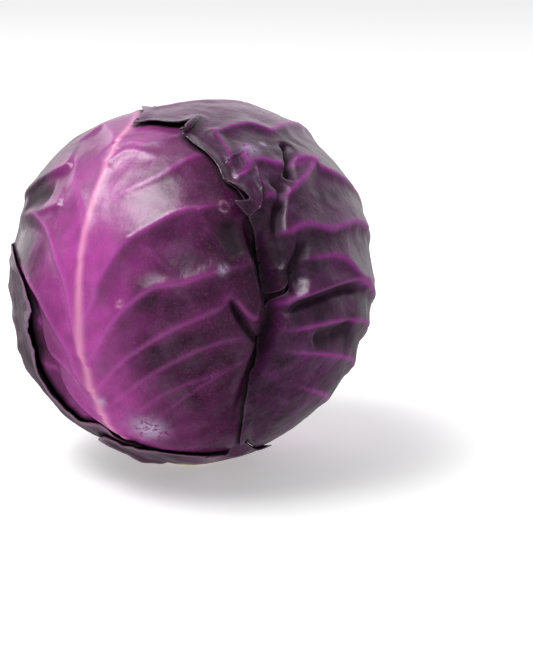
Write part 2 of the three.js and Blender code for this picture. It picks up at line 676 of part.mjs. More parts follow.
// The heart is a ball with a pit for the core: its outside from the top down, and then the pit's wall up to
// its tip.
function heartGeometry() {
  const turns = 44;
  const outside = 24;
  const pitHeights = [17, 24, 34, 46, 58, 70, 80, CORE_TOP];
  const footAngle = 160;
  const rows = [];
  for (let i = 1; i <= outside; i++) rows.push({ angle: (footAngle * i) / outside });
  for (const z of pitHeights) rows.push({ z });
  const positions = [];
  const index = [];
  const place = (row, turn) => {
    const [c, s] = [Math.cos(turn), Math.sin(turn)];
    if (row.z !== undefined) {
      const radius = coreRadius(Math.min(row.z, CORE_TOP)) + CORE_GAP;
      return [radius * c, radius * s, row.z + (row.z === CORE_TOP ? CORE_GAP : 0)];
    }
    const polar = row.angle * RAD;
    const dir = new THREE.Vector3(Math.sin(polar) * c, Math.sin(polar) * s, Math.cos(polar));
    return CENTRE.clone().addScaledVector(dir, heartRadius(dir)).toArray();
  };
  positions.push(0, 0, CENTRE_HEIGHT + heartRadius(UP));
  for (const row of rows) {
    for (let k = 0; k < turns; k++) positions.push(...place(row, (2 * Math.PI * k) / turns));
  }
  positions.push(0, 0, CORE_TOP + 3 * CORE_GAP);
  const last = positions.length / 3 - 1;
  const at = (i, k) => 1 + i * turns + (k % turns);
  for (let k = 0; k < turns; k++) {
    index.push(0, at(0, k), at(0, k + 1));
    for (let i = 0; i < rows.length - 1; i++) {
      index.push(at(i, k), at(i + 1, k), at(i + 1, k + 1), at(i, k), at(i + 1, k + 1), at(i, k + 1));
    }
    index.push(last, at(rows.length - 1, k + 1), at(rows.length - 1, k));
  }
  return geometryOf(positions, index);
}

const MATERIALS = {
  stem_and_core: { color: 0xe9dfc0, roughness: 0.6 },
  heart: { color: 0x7c3a78, roughness: 0.45 },
  leaf_back: { color: 0x6d3f6c, roughness: 0.4 },
  leaf_front: { color: 0x8e3f86, roughness: 0.35 },
  leaf_right: { color: 0x5b3a5b, roughness: 0.4 },
  leaf_left: { color: 0x4a3349, roughness: 0.45 },
  leaf_low_front: { color: 0x453145, roughness: 0.45 },
};

function meshOf(name, geometry) {
  const mesh = new THREE.Mesh(geometry, new THREE.MeshStandardMaterial({ ...MATERIALS[name], metalness: 0 }));
  mesh.name = name;
  return mesh;
}

const cabbage = new THREE.Group();
cabbage.add(meshOf("stem_and_core", stemGeometry()));
cabbage.add(meshOf("heart", heartGeometry()));
LEAVES.forEach((leaf, level) => cabbage.add(meshOf(leaf.name, leafGeometry(level))));

export default cabbage;
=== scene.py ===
"""A head of red cabbage on a pale floor, in soft studio light.

Five thin outer leaves lie one over another on a dense heart. Every leaf is one closed sheet, cut to its
outline from a fine grid on the head, and raised or pressed in along its midrib, side veins and folds. Sizes
are in millimetres until a mesh is made, and angles are in degrees.

A place on the head is an angle pair in a leaf's own chart: "along" is the angle from the foot of the head
over the front of the leaf, and "across" is the angle off that line, to the right as the leaf is looked at.
"""

import itertools
import math

import bpy
import numpy as np
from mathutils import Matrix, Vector


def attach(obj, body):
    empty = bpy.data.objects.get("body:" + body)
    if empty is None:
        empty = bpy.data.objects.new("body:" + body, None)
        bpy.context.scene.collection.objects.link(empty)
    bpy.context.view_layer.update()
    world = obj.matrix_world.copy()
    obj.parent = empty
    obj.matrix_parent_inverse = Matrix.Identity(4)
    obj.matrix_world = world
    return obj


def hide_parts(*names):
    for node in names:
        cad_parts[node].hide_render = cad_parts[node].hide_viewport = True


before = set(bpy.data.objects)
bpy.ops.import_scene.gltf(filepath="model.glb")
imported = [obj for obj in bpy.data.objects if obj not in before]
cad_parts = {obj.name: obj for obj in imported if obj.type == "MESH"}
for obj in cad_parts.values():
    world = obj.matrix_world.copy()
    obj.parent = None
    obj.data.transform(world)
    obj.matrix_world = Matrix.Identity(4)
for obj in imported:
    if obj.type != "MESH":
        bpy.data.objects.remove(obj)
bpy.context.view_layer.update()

MM = 0.001

# Whole head
SKIN_RADIUS = 75
CENTRE_HEIGHT = 73.5
FOOT_CLEARANCE = 2.2  # lowest leaf surface above the cut face
FOOT_ROUNDING = 2.5  # how softly the round of the head turns into its flattened foot
HEAD_SWELL = (0.7, 3.2, 0.4)  # height, scale and phase of the slow swells of the whole head
HEART_DEPTH = 8.8  # heart's surface under the skin
HEART_FOOT_DEPTH = 13.5  # the same under the head, where leaf bases are stacked

# Leaves
BLADE = 1.15  # blade thickness
EDGE_SHARE = 0.4  # share of it that is left at a leaf's edge
EDGE_TAPER = 4  # how far inside its edge a leaf gets thinner
GAP = 0.45  # air between layers
TUCK = 7  # how far inside its edge a leaf settles on what is under it
STEP_RAMP = 9  # how far outside an edge the leaf above takes to come down
SINK = 3.4  # a leaf lies this much deeper where another covers it
PRESSED_FLAT = 0.75  # share of its relief that a leaf loses there
SETTLE = 1.7  # leaf surface between the veins, under the head's mean skin
CREST_ROUNDING = 0.9
LIFT_REACH = 13  # how far round its place an edge is lifted
VEIN_WOBBLE = 1.6  # how far a side vein strays from its curve, in degrees
ALONG_SPAN = 200  # degrees along a leaf that its attribute runs from 0 to 1 over

# Widths of what is painted along veins, ribs and rings, and of the painted shade beside covering edges
VEIN_LINE_WIDTH = 0.9
VEIN_GLOW_WIDTH = 4.5
RIB_GLOW_WIDTH = 25
RING_WIDTH = 0.45
SHADE_WIDTH = 2.2

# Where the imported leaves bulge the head: outward direction, height and reach
BULGES = [
    ((0.79, 0.16, 0.59), 4.4, 42),
    ((0.35, 0.24, 0.9), 3.0, 26),
    ((-0.67, 0.19, 0.71), 2.6, 30),
    ((-0.85, -0.14, -0.52), 2.0, 22),
]

# Stem
STEM_RADIUS = 16.5
STEM_HEIGHT = 15
STEM_TAPER = 1.5
STEM_LEVELS = [0, 0.5, 1.2, 2.5, 4, 5.5, 7, 8.5, 10, 12, 15, 24]
STEM_CHAMFER = 0.8
STEM_LEDGE = 0.35
PIT_LEVELS = [17, 26]  # heights of the rings that close the heart round the stem

CENTRE = np.array([0.0, 0.0, CENTRE_HEIGHT])


def lerp(a, b, t):
    return a + (b - a) * t


def smooth(low, high, x):
    """0 to 1 as x goes from low to high, eased at both ends. low may be the larger."""
    t = np.clip((x - low) / (high - low), 0, 1)
    return t * t * (3 - 2 * t)


def soft_max(a, b, rounding):
    return 0.5 * (a + b + np.hypot(a - b, rounding))


def bell(distance, width):
    """1 in the middle, falling off smoothly on both sides."""
    return np.exp(-((distance / width) ** 2))


def away_from(place, dirs):
    """Distance in mm on the head between a place and each of the others, all as unit vectors."""
    return np.linalg.norm(dirs - place, axis=1) * SKIN_RADIUS


def on_rays(dirs, radius):
    """Points at their own radius from the head's centre, one in each direction."""
    return CENTRE + dirs * radius[:, None]


def full_turn(steps):
    return np.radians(np.linspace(0, 360, steps, endpoint=False))


# Charts


def chart_axes(azimuth):
    a = math.radians(azimuth)
    outward = np.array([math.sin(a), -math.cos(a), 0.0])
    right = np.array([math.cos(a), math.sin(a), 0.0])
    return outward, right


def from_chart(axes, points):
    outward, right = axes
    a, b = np.radians(np.asarray(points, float)).T
    flat = np.cos(b)[:, None]
    over = np.sin(a)[:, None] * outward - np.cos(a)[:, None] * np.array([0, 0, 1.0])
    return flat * over + np.sin(b)[:, None] * right


def to_chart(axes, dirs):
    outward, right = axes
    across = np.degrees(np.arcsin(np.clip(dirs @ right, -1, 1)))
    along = np.degrees(np.arctan2(dirs @ outward, -dirs[:, 2]))
    return np.column_stack([np.where(along < -90, along + 360, along), across])


def spline(points, per_span):
    """A smooth line through chart points, with per_span steps between each two."""
    p = np.asarray(points, float)
    padded = np.vstack([p[0], p, p[-1]])
    t = np.arange(per_span)[:, None] / per_span
    spans = []
    for i in range(len(p) - 1):
        a, b, c, d = padded[i : i + 4]
        bend = 2 * a - 5 * b + 4 * c - d
        turn = 3 * b - a - 3 * c + d
        spans.append(0.5 * (2 * b + (c - a) * t + bend * t**2 + turn * t**3))
    return np.vstack([*spans, p[-1:]])


class Line:
    """A line on the head, as short straight steps between unit vectors."""

    def __init__(self, points):
        self.points = points
        self.middle = points.mean(0)
        self.spread = np.linalg.norm(points - self.middle, axis=1).max()

    def nearest(self, dirs, reach=1000.0, lean=False):
        """Distance in mm to the line, and how far along it that is. Beyond reach the distance is infinite.

        With lean, also which side of the line each point is on, from -1 to 1.
        """
        distance = np.full(len(dirs), np.inf)
        share = np.zeros(len(dirs))
        side = np.zeros(len(dirs))
        off = np.linalg.norm(dirs - self.middle, axis=1)
        near = np.flatnonzero(off < self.spread + reach / SKIN_RADIUS)
        best = np.full(len(near), np.inf)
        where = np.zeros(len(near))
        leaning = np.zeros(len(near))
        close = dirs[near]
        count = len(self.points) - 1
        for i in range(count):
            start = self.points[i]
            step = self.points[i + 1] - start
            t = np.clip((close - start) @ step / (step @ step + 1e-12), 0, 1)
            gap = np.linalg.norm(close - start - t[:, None] * step, axis=1)
            closer = gap < best
            best[closer] = gap[closer]
            where[closer] = (i + t[closer]) / count
            if lean:
                normal = np.cross(start, step)
                normal /= np.linalg.norm(normal) + 1e-12
                leaning[closer] = ((close[closer] - start) @ normal) / (gap[closer] + 1e-6)
        distance[near] = best * SKIN_RADIUS
        share[near] = where
        side[near] = np.clip(leaning, -1, 1)
        return (distance, share, side) if lean else (distance, share)


# Noise


class Noise:
    """Smooth seeded noise in space, from about -1 to 1, with bumps about "size" mm apart."""

    def __init__(self, seed, size):
        rng = np.random.default_rng(seed)
        order = rng.permutation(256)
        self.order = np.concatenate([order, order])
        slopes = rng.normal(size=(256, 3))
        self.slopes = slopes / np.linalg.norm(slopes, axis=1)[:, None]
        self.size = size

    def __call__(self, dirs):
        place = dirs * SKIN_RADIUS / self.size + 40.0
        cell = np.floor(place).astype(int)
        f = place - cell
        ease = f**3 * (f * (f * 6 - 15) + 10)
        total = np.zeros(len(dirs))
        for corner in itertools.product((0, 1), repeat=3):
            c = (cell + corner) & 255
            pick = self.order[self.order[self.order[c[:, 0]] + c[:, 1]] + c[:, 2]]
            weight = np.prod(np.where(corner, ease, 1 - ease), axis=1)
            total += weight * np.sum(self.slopes[pick] * (f - corner), axis=1)
        return 1.6 * total


def swell(dirs, scale, phase):
    """Slow swells over the head, as a sum of waves in fixed directions."""
    total = np.zeros(len(dirs))
    for i in range(5):
        turn = 2.4 * i + phase
        lean = math.cos(1.7 * i + phase)
        flat = math.sqrt(1 - lean * lean)
        wave = np.array([flat * math.cos(turn), flat * math.sin(turn), lean])
        total += np.sin(scale * (1 + 0.23 * i) * (dirs @ wave) + 1.3 * phase + 2.1 * i)
    return total / 5


# Ridges and folds


def ridge(height, width, points, above=None, line=1.0, fade=0.55, root=0.03):
    """A raised vein, from its root outwards: a crest with hollow flanks that gets lower.

    above is the width of the flank on the tip's side. line is how bright the vein's colour shows. fade is how
    much lower the far end is, and root the share of the length over which the crest comes up.
    """
    above = width if above is None else above
    shape = {"height": height, "width": width, "above": above, "fade": fade, "root": root}
    return {**shape, "points": points, "line": line}


def fold(depth, width, points):
    """A fold pressed in: a narrow trough that fades at both ends."""
    return {"height": -depth, "width": width, "points": points, "line": 0.0}


def midrib_across(midrib, along):
    a, b = np.asarray(midrib, float).T
    return float(np.interp(along, a, b))


def side_veins(midrib, side, starts, rise, bend, reach, height, width):
    """Side veins that leave the midrib in turn, rise steeply and then bend outwards."""
    veins = []
    for n, start in enumerate(starts):
        points = []
        for k in range(6):
            off = reach * k / 5
            wobble = VEIN_WOBBLE * math.sin(2.2 * n + 1.9 * k + side) if k else 0
            along = start + rise * (1 - math.exp(-off / bend)) + wobble
            points.append((along, midrib_across(midrib, start) + side * off))
        veins.append(ridge(height, width, points))
    return veins


def both_sides(midrib, starts, rise, reach, height):
    return [
        vein
        for side in (-1, 1)
        for vein in side_veins(midrib, side, starts, rise, 20, reach, height, 4)
    ]


# The leaves, from the innermost out. Each edge list runs from the leaf's foot to its tip.

BACK_MIDRIB = [(15.5, 0), (90, 3), (150, 0), (186, -4)]
BACK_LEAF = {
    "name": "leaf_back",
    "azimuth": 186,
    "midrib": BACK_MIDRIB,
    "left": [
        (15.5, -12), (27, -32), (42, -50), (68, -62), (100, -66), (132, -62), (158, -50), (177, -32),
        (188, -14),
    ],
    "right": [
        (15.5, 12), (24, 30), (33, 45), (44, 60), (56, 71), (75, 75), (95, 76), (115, 75), (133, 71),
        (148, 63), (160, 52), (170, 40), (180, 26), (188, 12),
    ],
    "rib": (2.4, 5.5),
    "swell": (0.9, 7, 4.4),
    "crumple": 0.7,
    "ragged": 0.5,
    "lift": [],
    "spacing": 1.15,
    "features": both_sides(BACK_MIDRIB, [44, 58, 73, 90, 110, 132], 42, 62, 1.9),
}

FRONT_FEATURES = [
    # Side veins to the right of the midrib, from the lowest up
    ridge(1.4, 4.5, [(33, 3.4), (45, 10), (56, 20), (66, 34), (74, 50), (78, 62)], 6, 0.3),
    ridge(2.4, 3.8, [
        (44, 4), (52.3, 6.5), (60.8, 15.9), (67.2, 25.5), (71.1, 35.3), (72.7, 44.5), (76, 56),
    ], 6, 0.4),
    ridge(2.4, 3.6, [
        (54, 4.4), (63.3, 8), (70.1, 16.2), (75.9, 24.2), (80.5, 32.2), (84.4, 39.7), (86.8, 47.1),
        (87, 51.6), (84, 57),
    ], 7, 0.55, 0.3),
    ridge(3.8, 3.0, [
        (66, 5), (72, 7.8), (77, 12.5), (83.1, 19), (88.8, 26.8), (92.9, 32.6), (96.4, 38.3), (99.5, 43.1),
        (102.3, 45.8), (105.6, 47.5),
    ], 7, 0.8, 0.1),
    ridge(3.6, 2.2, [(105.6, 47.5), (104.4, 50.4), (101, 52.8), (98.2, 55.1), (97.2, 58.2)], 4, 1.0, 0.2),
    ridge(5.0, 3.4, [
        (78, 4.6), (83.3, 8.3), (88.1, 11.3), (92.4, 13.9), (96.7, 16.9), (100.2, 20), (103.5, 23.2),
        (106, 26.7), (108.2, 32.8), (111, 37), (115.1, 41.9), (119, 47.2), (125.5, 53.1),
    ], 7, 1.0, 0.2),
    ridge(5.6, 3.4, [
        (92, 3.6), (99, 7.4), (103.9, 8.8), (109, 10.9), (114.2, 12.9), (118.4, 15.5), (123.5, 20.2),
        (129.4, 25), (133.5, 29), (135.5, 32), (138.7, 34.9), (143.8, 38.4),
    ], 11, 1.0, 0.2, 0.2),
    ridge(2.0, 3.0, [
        (128, 3), (131, 5.5), (134.1, 8.5), (137.8, 12.5), (143.3, 16.4), (149.4, 18.8), (154.6, 21.3),
        (159, 26),
    ], 9, 0.9, 0.2, 0.5),
    ridge(1.8, 2.2, [
        (141, -3.4), (145.6, -1.5), (148.1, 1.2), (148.3, 5.5), (148.3, 8.4), (147.2, 11.5),
    ], 4, 0.5),
    ridge(1.8, 2.8, [(147, -4.5), (151.9, -2), (152.1, 2.3), (154.9, 7.7), (159.7, 11.7), (163, 18)], 5, 0.6),
    # Side veins to the left
    ridge(2.2, 3.8, [(42, 3.8), (55, 0), (64, -7), (70, -16), (74, -28), (77, -42)], 7, 0.8),
    ridge(3.0, 3.4, [
        (60, 4.7), (65.6, 1.9), (73, -1.5), (77.3, -6.5), (79.7, -12.7), (83.7, -16.5), (87, -26), (90, -42),
    ], 7),
    ridge(4.2, 3.4, [
        (70, 4.9), (75.5, 1.1), (82.3, -1.5), (86.4, -5), (91.6, -9.9), (95.5, -13.8), (97.9, -17.7),
        (100.5, -23.7), (103.4, -28.9), (107, -44),
    ], 8, 1.0, 0.3),
    ridge(4.4, 3.4, [
        (81, 4), (89.1, 1.8), (96.3, -0.1), (103.3, -3.3), (108.6, -7.7), (113.4, -11.4), (118, -16.3),
        (121.6, -23.3), (123, -29.8), (125, -44),
    ], 9, 1.0, 0.3),
    ridge(2.6, 2.4, [(125.8, -13.9), (124.3, -18.1), (123, -22.9), (123, -29.8)], 6, 0.1, 0.1),
    ridge(2.4, 3.0, [
        (109, 1.2), (117.2, 0), (121, -1.4), (126.1, -4.5), (130.1, -8.2), (135, -13.4), (142.4, -17.2),
        (148, -28),
    ], 6),
    ridge(3.2, 2.4, [
        (140.8, -17.9), (138.8, -21.6), (137.4, -27.5), (135.1, -34.8), (133, -46),
    ], 7, 0.2, 0.1),
    ridge(2.4, 2.6, [
        (150, -5.2), (158, -14), (161.8, -19.3), (157.7, -21.9), (154.2, -24.9), (151, -34),
    ], 6, 0.3),
    # Creases that cross from vein to vein
    ridge(3.6, 5.5, [(134.5, 31.8), (132.2, 34.2), (128.2, 38), (124.2, 42), (119, 46.2)], 1.6, 0.1, 0.1),
    ridge(2.6, 5.0, [
        (119.5, 14), (118.3, 16.1), (116.8, 21.5), (114, 25.8), (111.3, 29.9), (109.1, 33.8),
    ], 1.6, 0.1, 0.3),
    ridge(0.6, 1.6, [(146, 10), (143, 16), (141, 22)], 1.6, 0.0),
    # Folds
    fold(4.2, 1.2, [(107, 47.6), (104, 49.1), (98.8, 51.3), (92.3, 54), (86, 56.5), (80, 60)]),
    fold(1.4, 3.5, [(138, 40), (131, 44), (125, 48)]),
    fold(1.6, 4.0, [(130, -20), (129, -30), (127, -40)]),
]
FRONT_LEAF = {
    "name": "leaf_front",
    "azimuth": -37,
    "midrib": [
        (15, 2.5), (30, 3.2), (45, 3.8), (55, 4.4), (66, 5), (80, 4.2), (93, 3.1), (105, 1.7), (117, 0.2),
        (127, -1.5), (140, -3.4), (152, -5.2), (160, -7.4), (167, -10.8), (177, -17.5), (190, -25),
    ],
    "left": [
        (15, -8), (19, -25), (29, -42), (42, -55), (57, -64), (74, -69), (90, -71), (105, -70), (119, -67),
        (132, -62), (144, -56), (155, -50), (165, -44), (174, -39), (182, -35), (189, -32), (194, -29),
    ],
    "right": [
        (15, 12), (17, 29), (23, 46), (36, 60), (55, 68), (76, 72), (95, 73), (109, 73), (122, 71), (135, 68),
        (147, 63), (158, 57), (168, 49), (177, 40), (185, 29), (190, 14), (194, -4),
    ],
    "rib": (1.7, 2.9),
    "swell": (0.7, 6, 1.2),
    "crumple": 0.3,
    "ragged": 0.3,
    "lift": [],
    "spacing": 0.78,
    "rings": [(140.8, 37.2, 1.9), (98.9, 16, 1.1), (133, 9, 1.2)],
    "wax_spots": [(52.7, 16.9, 6.5), (116.8, 43.9, 1.8), (66, 6, 2.0), (84, -30, 2.5)],
    "features": FRONT_FEATURES,
}

RIGHT_MIDRIB = [(15, 2), (40, 12), (80, 19), (120, 18), (155, 10), (190, 4)]
RIGHT_FEATURES = [
    # Crests on the side that faces the front, from the top down
    ridge(2.6, 2.6, [
        (119, 18), (130, 13), (140, 6), (149.2, -5), (155.3, -14.3), (158.8, -14.9), (162.8, -14.7),
        (167.1, -16.7), (171.7, -19.8), (178, -24),
    ], 6, 0.9, 0.2, 0.3),
    ridge(3.0, 2.2, [
        (90, 19), (99, 10), (110, -1), (120.4, -10.1), (129.5, -16.7), (137.6, -21.6), (143.3, -21.8),
        (148.4, -26.9), (151.7, -31), (156.8, -31.4), (161.4, -32.3), (166, -37), (170, -40),
    ], 7, 1.0, 0.3, 0.4),
    ridge(3.0, 2.0, [
        (139.9, -17.8), (141.1, -23.1), (142.2, -29.7), (144, -34.1), (146.5, -39.1), (149.9, -43.6),
        (154.4, -44.3), (158.7, -46.3),
    ], 6, 1.0, 0.1),
    ridge(4.0, 2.3, [
        (76, 18), (86, 10), (98, -1), (107, -11), (111.7, -18), (116, -24.2), (120, -31.6), (123.9, -39.5),
        (128.2, -42.7), (132.9, -45.1), (137.5, -48.9), (140.9, -52.7), (145.1, -54.7), (150, -57),
    ], 9, 1.0, 0.15, 0.5),
    ridge(3.6, 2.2, [
        (86, 10), (89, -3), (93, -17), (98, -30), (101.2, -35.9), (105.7, -38.5), (110.9, -40.8),
        (115.6, -44.6), (118.9, -48.8), (123.3, -53.6), (125.6, -57.2),
    ], 8, 0.9, 0.1, 0.45),
    ridge(4.6, 2.2, [
        (60, 16), (71, 7), (82, -6), (91, -22), (99.8, -36.4), (102.3, -43.3), (104.1, -49.6), (105.6, -55.5),
        (107.3, -60.4), (109.1, -64.1), (108.3, -68.1), (107.2, -72.2),
    ], 7, 1.0, 0.1, 0.45),
    ridge(3.2, 3.2, [
        (46, 13), (56, 9), (66, 0), (76, -16), (83, -32), (87, -48), (88, -62), (86, -70),
    ], 7, 0.9, 0.3, 0.4),
    ridge(2.8, 3.2, [
        (34, 10), (43, 8), (51, 2), (60, -12), (67, -28), (70, -44), (71, -58), (69, -68),
    ], 7, 0.9, 0.3, 0.4),
    ridge(1.6, 3.4, [(25, 6), (33, 4), (40, -1), (45, -8), (50, -24), (52, -40), (50, -56)], 6),
    ridge(2.4, 2.2, [(164, -27), (166.5, -32), (164.5, -36.5), (167.5, -40), (171, -42)], 3.5, 0.8, 0.1),
    ridge(1.8, 2.0, [(176, -20), (173.5, -26), (171.5, -32), (172.5, -37)], 4, 0.5, 0.1),
    # Fine cross veins and a crease there
    ridge(0.8, 2.0, [(150, -29), (146, -27), (142, -21)], line=0.6),
    ridge(0.8, 2.0, [(165, -31), (161, -37), (157, -42)], line=0.5),
    ridge(0.9, 2.0, [(111, -39), (117, -33), (122, -28)], line=0.3),
    ridge(1.0, 1.8, [
        (143.5, -47), (141.9, -45.7), (140.4, -41), (138, -36.6), (135, -32),
    ], line=0.0, fade=0.2),
    # Folds on that side
    fold(5.5, 1.9, [
        (158, -38), (150, -40.8), (149.4, -46.5), (148.2, -51.6), (145.4, -55.9), (140.7, -58.9),
        (135.6, -61), (129, -62.5),
    ]),
    fold(4.0, 2.2, [(134, -49), (129.5, -53.5), (126.7, -58.7), (124.3, -61.8), (120, -66)]),
    fold(4.0, 2.2, [
        (95, -30), (98.2, -39.1), (101, -47.7), (102.3, -54.8), (103.4, -60.3), (103.3, -65), (98, -70),
    ]),
    fold(5.2, 1.9, [(152.5, -19), (150, -22.1), (149.5, -28.2), (148.6, -32.9), (148, -36)]),
    fold(2.4, 3.2, [(84, -40), (80, -50), (79, -60)]),
    *side_veins(RIGHT_MIDRIB, 1, [34, 47, 61, 77, 95, 115, 138], 40, 18, 52, 2.1, 4),
]
RIGHT_LEAF = {
    "name": "leaf_right",
    "azimuth": 100,
    "midrib": RIGHT_MIDRIB,
    "left": [
        (15, -9), (14, -22), (12, -36), (12, -50), (17, -61), (28, -68), (42, -71), (56, -73), (70, -74.5),
        (80, -75), (93, -74.5), (103, -73), (109, -71), (113, -68.5), (116.5, -64.5), (121, -60),
        (121.5, -63.5), (118, -66.8), (119, -69.2), (125, -69.3), (135.3, -66.5), (144, -62.7),
        (150.5, -59.2), (158, -55.5), (163, -52.8), (166, -49.5), (168.5, -47), (171, -45.3), (175.2, -42.7),
        (177.1, -37.2), (180, -33.2), (183.1, -29.5), (185, -25.9), (186.4, -22.5), (184, -20),
        (181.9, -17.1), (179.2, -12.3), (182.2, -15.4), (185.6, -16.6), (188.6, -15.6), (191.3, -13.6),
        (193.8, -11.2), (196.4, -10.1), (198.8, -8.8),
    ],
    "right": [
        (15, 13), (18, 23), (24, 35), (33, 47), (44, 57), (57, 64), (72, 69), (88, 72), (104, 73), (120, 71),
        (135, 67), (149, 61), (162, 52), (174, 42), (184, 31), (190, 20), (193, 10), (193.6, 3),
        (194.1, -1.2), (196.3, -5.2),
    ],
    "rib": (2.4, 5.0),
    "swell": (0.8, 8, 2.7),
    "crumple": 0.55,
    "ragged": 0.5,
    "lift": [(190, -13, 0.9), (175, -40, 0.6), (186, -22, 0.6)],
    "cleft_share": 0.5,
    "spacing": 0.78,
    "wax_spots": [(163.9, -28.6, 3.2), (159, -24, 1.6)],
    "features": RIGHT_FEATURES,
}

LEFT_MIDRIB = [(15, 0), (60, 2), (101, 0)]
LEFT_LEAF = {
    "name": "leaf_left",
    "azimuth": -130,
    "midrib": LEFT_MIDRIB,
    "left": [
        (15, -11), (19, -26), (29, -41), (43, -54), (58, -62), (72, -61), (84, -53), (92, -41), (97, -27),
        (99, -13),
    ],
    "right": [
        (15, 11), (7, 20), (-1, 28), (-8, 34), (-11, 38.5), (-7, 41.5), (-3, 45), (2, 49), (13, 51),
        (21, 54.8), (29, 58.4), (39, 62.5), (48, 66.5), (58, 68.5), (70, 69), (82, 69.8), (92, 70), (104, 66),
        (113, 60), (114, 52), (109, 41), (104, 30), (101, 15),
    ],
    "rib": (3.0, 6),
    "swell": (1.0, 8, 5.1),
    "crumple": 0.7,
    "ragged": 0.9,
    "lift": [(31, 59, 1.4), (50, 67, 0.9), (76, 69.5, 1.5), (96, 69, 0.9), (8, 50, 0.6)],
    "spacing": 1.0,
    "features": both_sides(LEFT_MIDRIB, [30, 40, 52, 66, 80], 28, 56, 2.0),
}

LOW_MIDRIB = [(15, 0), (40, -2)]
LOW_LEAF = {
    "name": "leaf_low_front",
    "azimuth": 15,
    "midrib": LOW_MIDRIB,
    "left": [
        (15, -11), (14.5, -20), (15, -29), (18, -35), (24, -37), (30, -35), (34, -29), (36.5, -20),
        (37.5, -10),
    ],
    "right": [
        (15, 11), (16, 16), (19.5, 19.5), (24.5, 20.5), (29, 19), (32.5, 14.5), (35, 9), (36.5, 3),
        (37.3, -3),
    ],
    "rib": (2.0, 7),
    "swell": (0.4, 9, 0.6),
    "crumple": 0.5,
    "ragged": 0.6,
    "lift": [(24, -37, 0.3), (37, -4, 0.3)],
    "spacing": 0.9,
    "features": both_sides(LOW_MIDRIB, [19, 26], 8, 26, 1.4),
}

LEAVES = [BACK_LEAF, FRONT_LEAF, RIGHT_LEAF, LEFT_LEAF, LOW_LEAF]

# Torn pieces of the right leaf, in its chart: a flap that lies over the strip beside the cleft, and a curled
# shred
TORN_FLAP = [
    (171.4, -50.6), (169.5, -51.8), (165.5, -53.2), (162.4, -53.3), (160.2, -51.6), (158.2, -49.5),
    (158.8, -45.5), (160.8, -40), (161.5, -34), (166, -31), (172, -34), (175, -39), (174, -43.5),
    (170, -46.1), (166.9, -47.1), (164.3, -48.7), (167.2, -49.9),
]
FLAP_HINGE = [(176, -40), (171, -38), (166, -35), (162, -31)]
SHRED = [(178.8, -12.2), (179.4, -15.5), (181, -18.8), (183, -21.5), (184.8, -22.9), (187, -22.3)]
FLAP_SPACING = 0.5
FLAP_BLADE = 0.9
FLAP_RISE = (-0.8, 1.5)  # over the leaf, at the hinge and away from it
FLAP_CURL = 0.7  # its free edge stands this much higher
SHRED_WIDTH = 3.4
SHRED_BLADE = 0.5
SHRED_TURN = (20, 130)  # how its section turns from its near side to its far side
SHRED_BULGE = (0.55, 0.7)  # how far the section goes aside and up, for its width
SHRED_ROWS, SHRED_COLUMNS = 48, 10

# Grooves that every layer follows: the cleft between the front and right leaves, and the hollow under the
# left leaf's edge. A leaf may follow only a share of the cleft.
GROOVES = [
    {
        "azimuth": -37,
        "depth": 12.0,
        "width": 4.0,
        "points": [
            (147, 40), (141, 48), (135, 53.5), (127, 58), (118, 61.5), (110, 63.5), (100, 64.5), (90, 63.5),
            (78, 61), (64, 56), (50, 48), (36, 38),
        ],
    },
    {
        "azimuth": -37,
        "depth": 4.5,
        "width": 5.0,
        "points": [
            (108, -34), (94, -24), (85, -20), (74, -16), (64, -13), (56, -8), (49, -1), (44, 7), (40, 16),
        ],
    },
]

RAGGED_NOISE = Noise(3, 5.0)
RAGGED_FINE = Noise(4, 1.8)
CRUMPLE_NOISE = [Noise(11, 17.0), Noise(12, 9.0), Noise(13, 5.0)]

for groove in GROOVES:
    groove["line"] = Line(from_chart(chart_axes(groove["azimuth"]), spline(groove["points"], 4)))

for leaf in LEAVES:
    leaf["axes"] = chart_axes(leaf["azimuth"])
    leaf["rib_line"] = Line(from_chart(leaf["axes"], spline(leaf["midrib"], 6)))
    for feature in leaf["features"]:
        feature["line_on_head"] = Line(from_chart(leaf["axes"], spline(feature["points"], 3)))
        feature["up"] = np.sign(feature["points"][-1][1] - feature["points"][0][1])
    edge = [*leaf["left"], *reversed(leaf["right"])]
    ring = spline([*edge, edge[0]], 8)
    on_head = from_chart(leaf["axes"], ring)
    tear = RAGGED_NOISE(on_head) + 0.5 * RAGGED_FINE(on_head)
    inward = leaf["ragged"] * 0.75 * tear[:, None]
    ring = ring + inward * np.column_stack([np.zeros(len(ring)), -np.sign(ring[:, 1])])
    ring[-1] = ring[0]
    leaf["ring"] = ring
    leaf["edge_line"] = Line(from_chart(leaf["axes"], ring))
    leaf["lifts"] = [(from_chart(leaf["axes"], [(a, b)])[0], h) for a, b, h in leaf["lift"]]


# Heights over the head's centre


def groove_depth(dirs, widen=1.0, cleft_share=1.0):
    total = np.zeros(len(dirs))
    for groove, share_of_depth in zip(GROOVES, (cleft_share, 1.0)):
        width = groove["width"] * widen
        distance, share = groove["line"].nearest(dirs, width * 3)
        ends = smooth(0, 0.2, share) * smooth(1, 0.75, share)
        total += share_of_depth * groove["depth"] * ends * bell(distance, width)
    return total


def skin_radius(dirs):
    """The outer skin of the whole head, flattened where it stands."""
    height, scale, phase = HEAD_SWELL
    around = SKIN_RADIUS + height * swell(dirs, scale, phase)
    for direction, height, reach in BULGES:
        middle = np.array(direction) / np.linalg.norm(direction)
        around += height * bell(away_from(middle, dirs), reach)
    down = np.maximum(-dirs[:, 2], 1e-3)
    flat = (CENTRE_HEIGHT - FOOT_CLEARANCE) / down
    return np.where(dirs[:, 2] >= 0, around, -soft_max(-around, -flat, FOOT_ROUNDING))


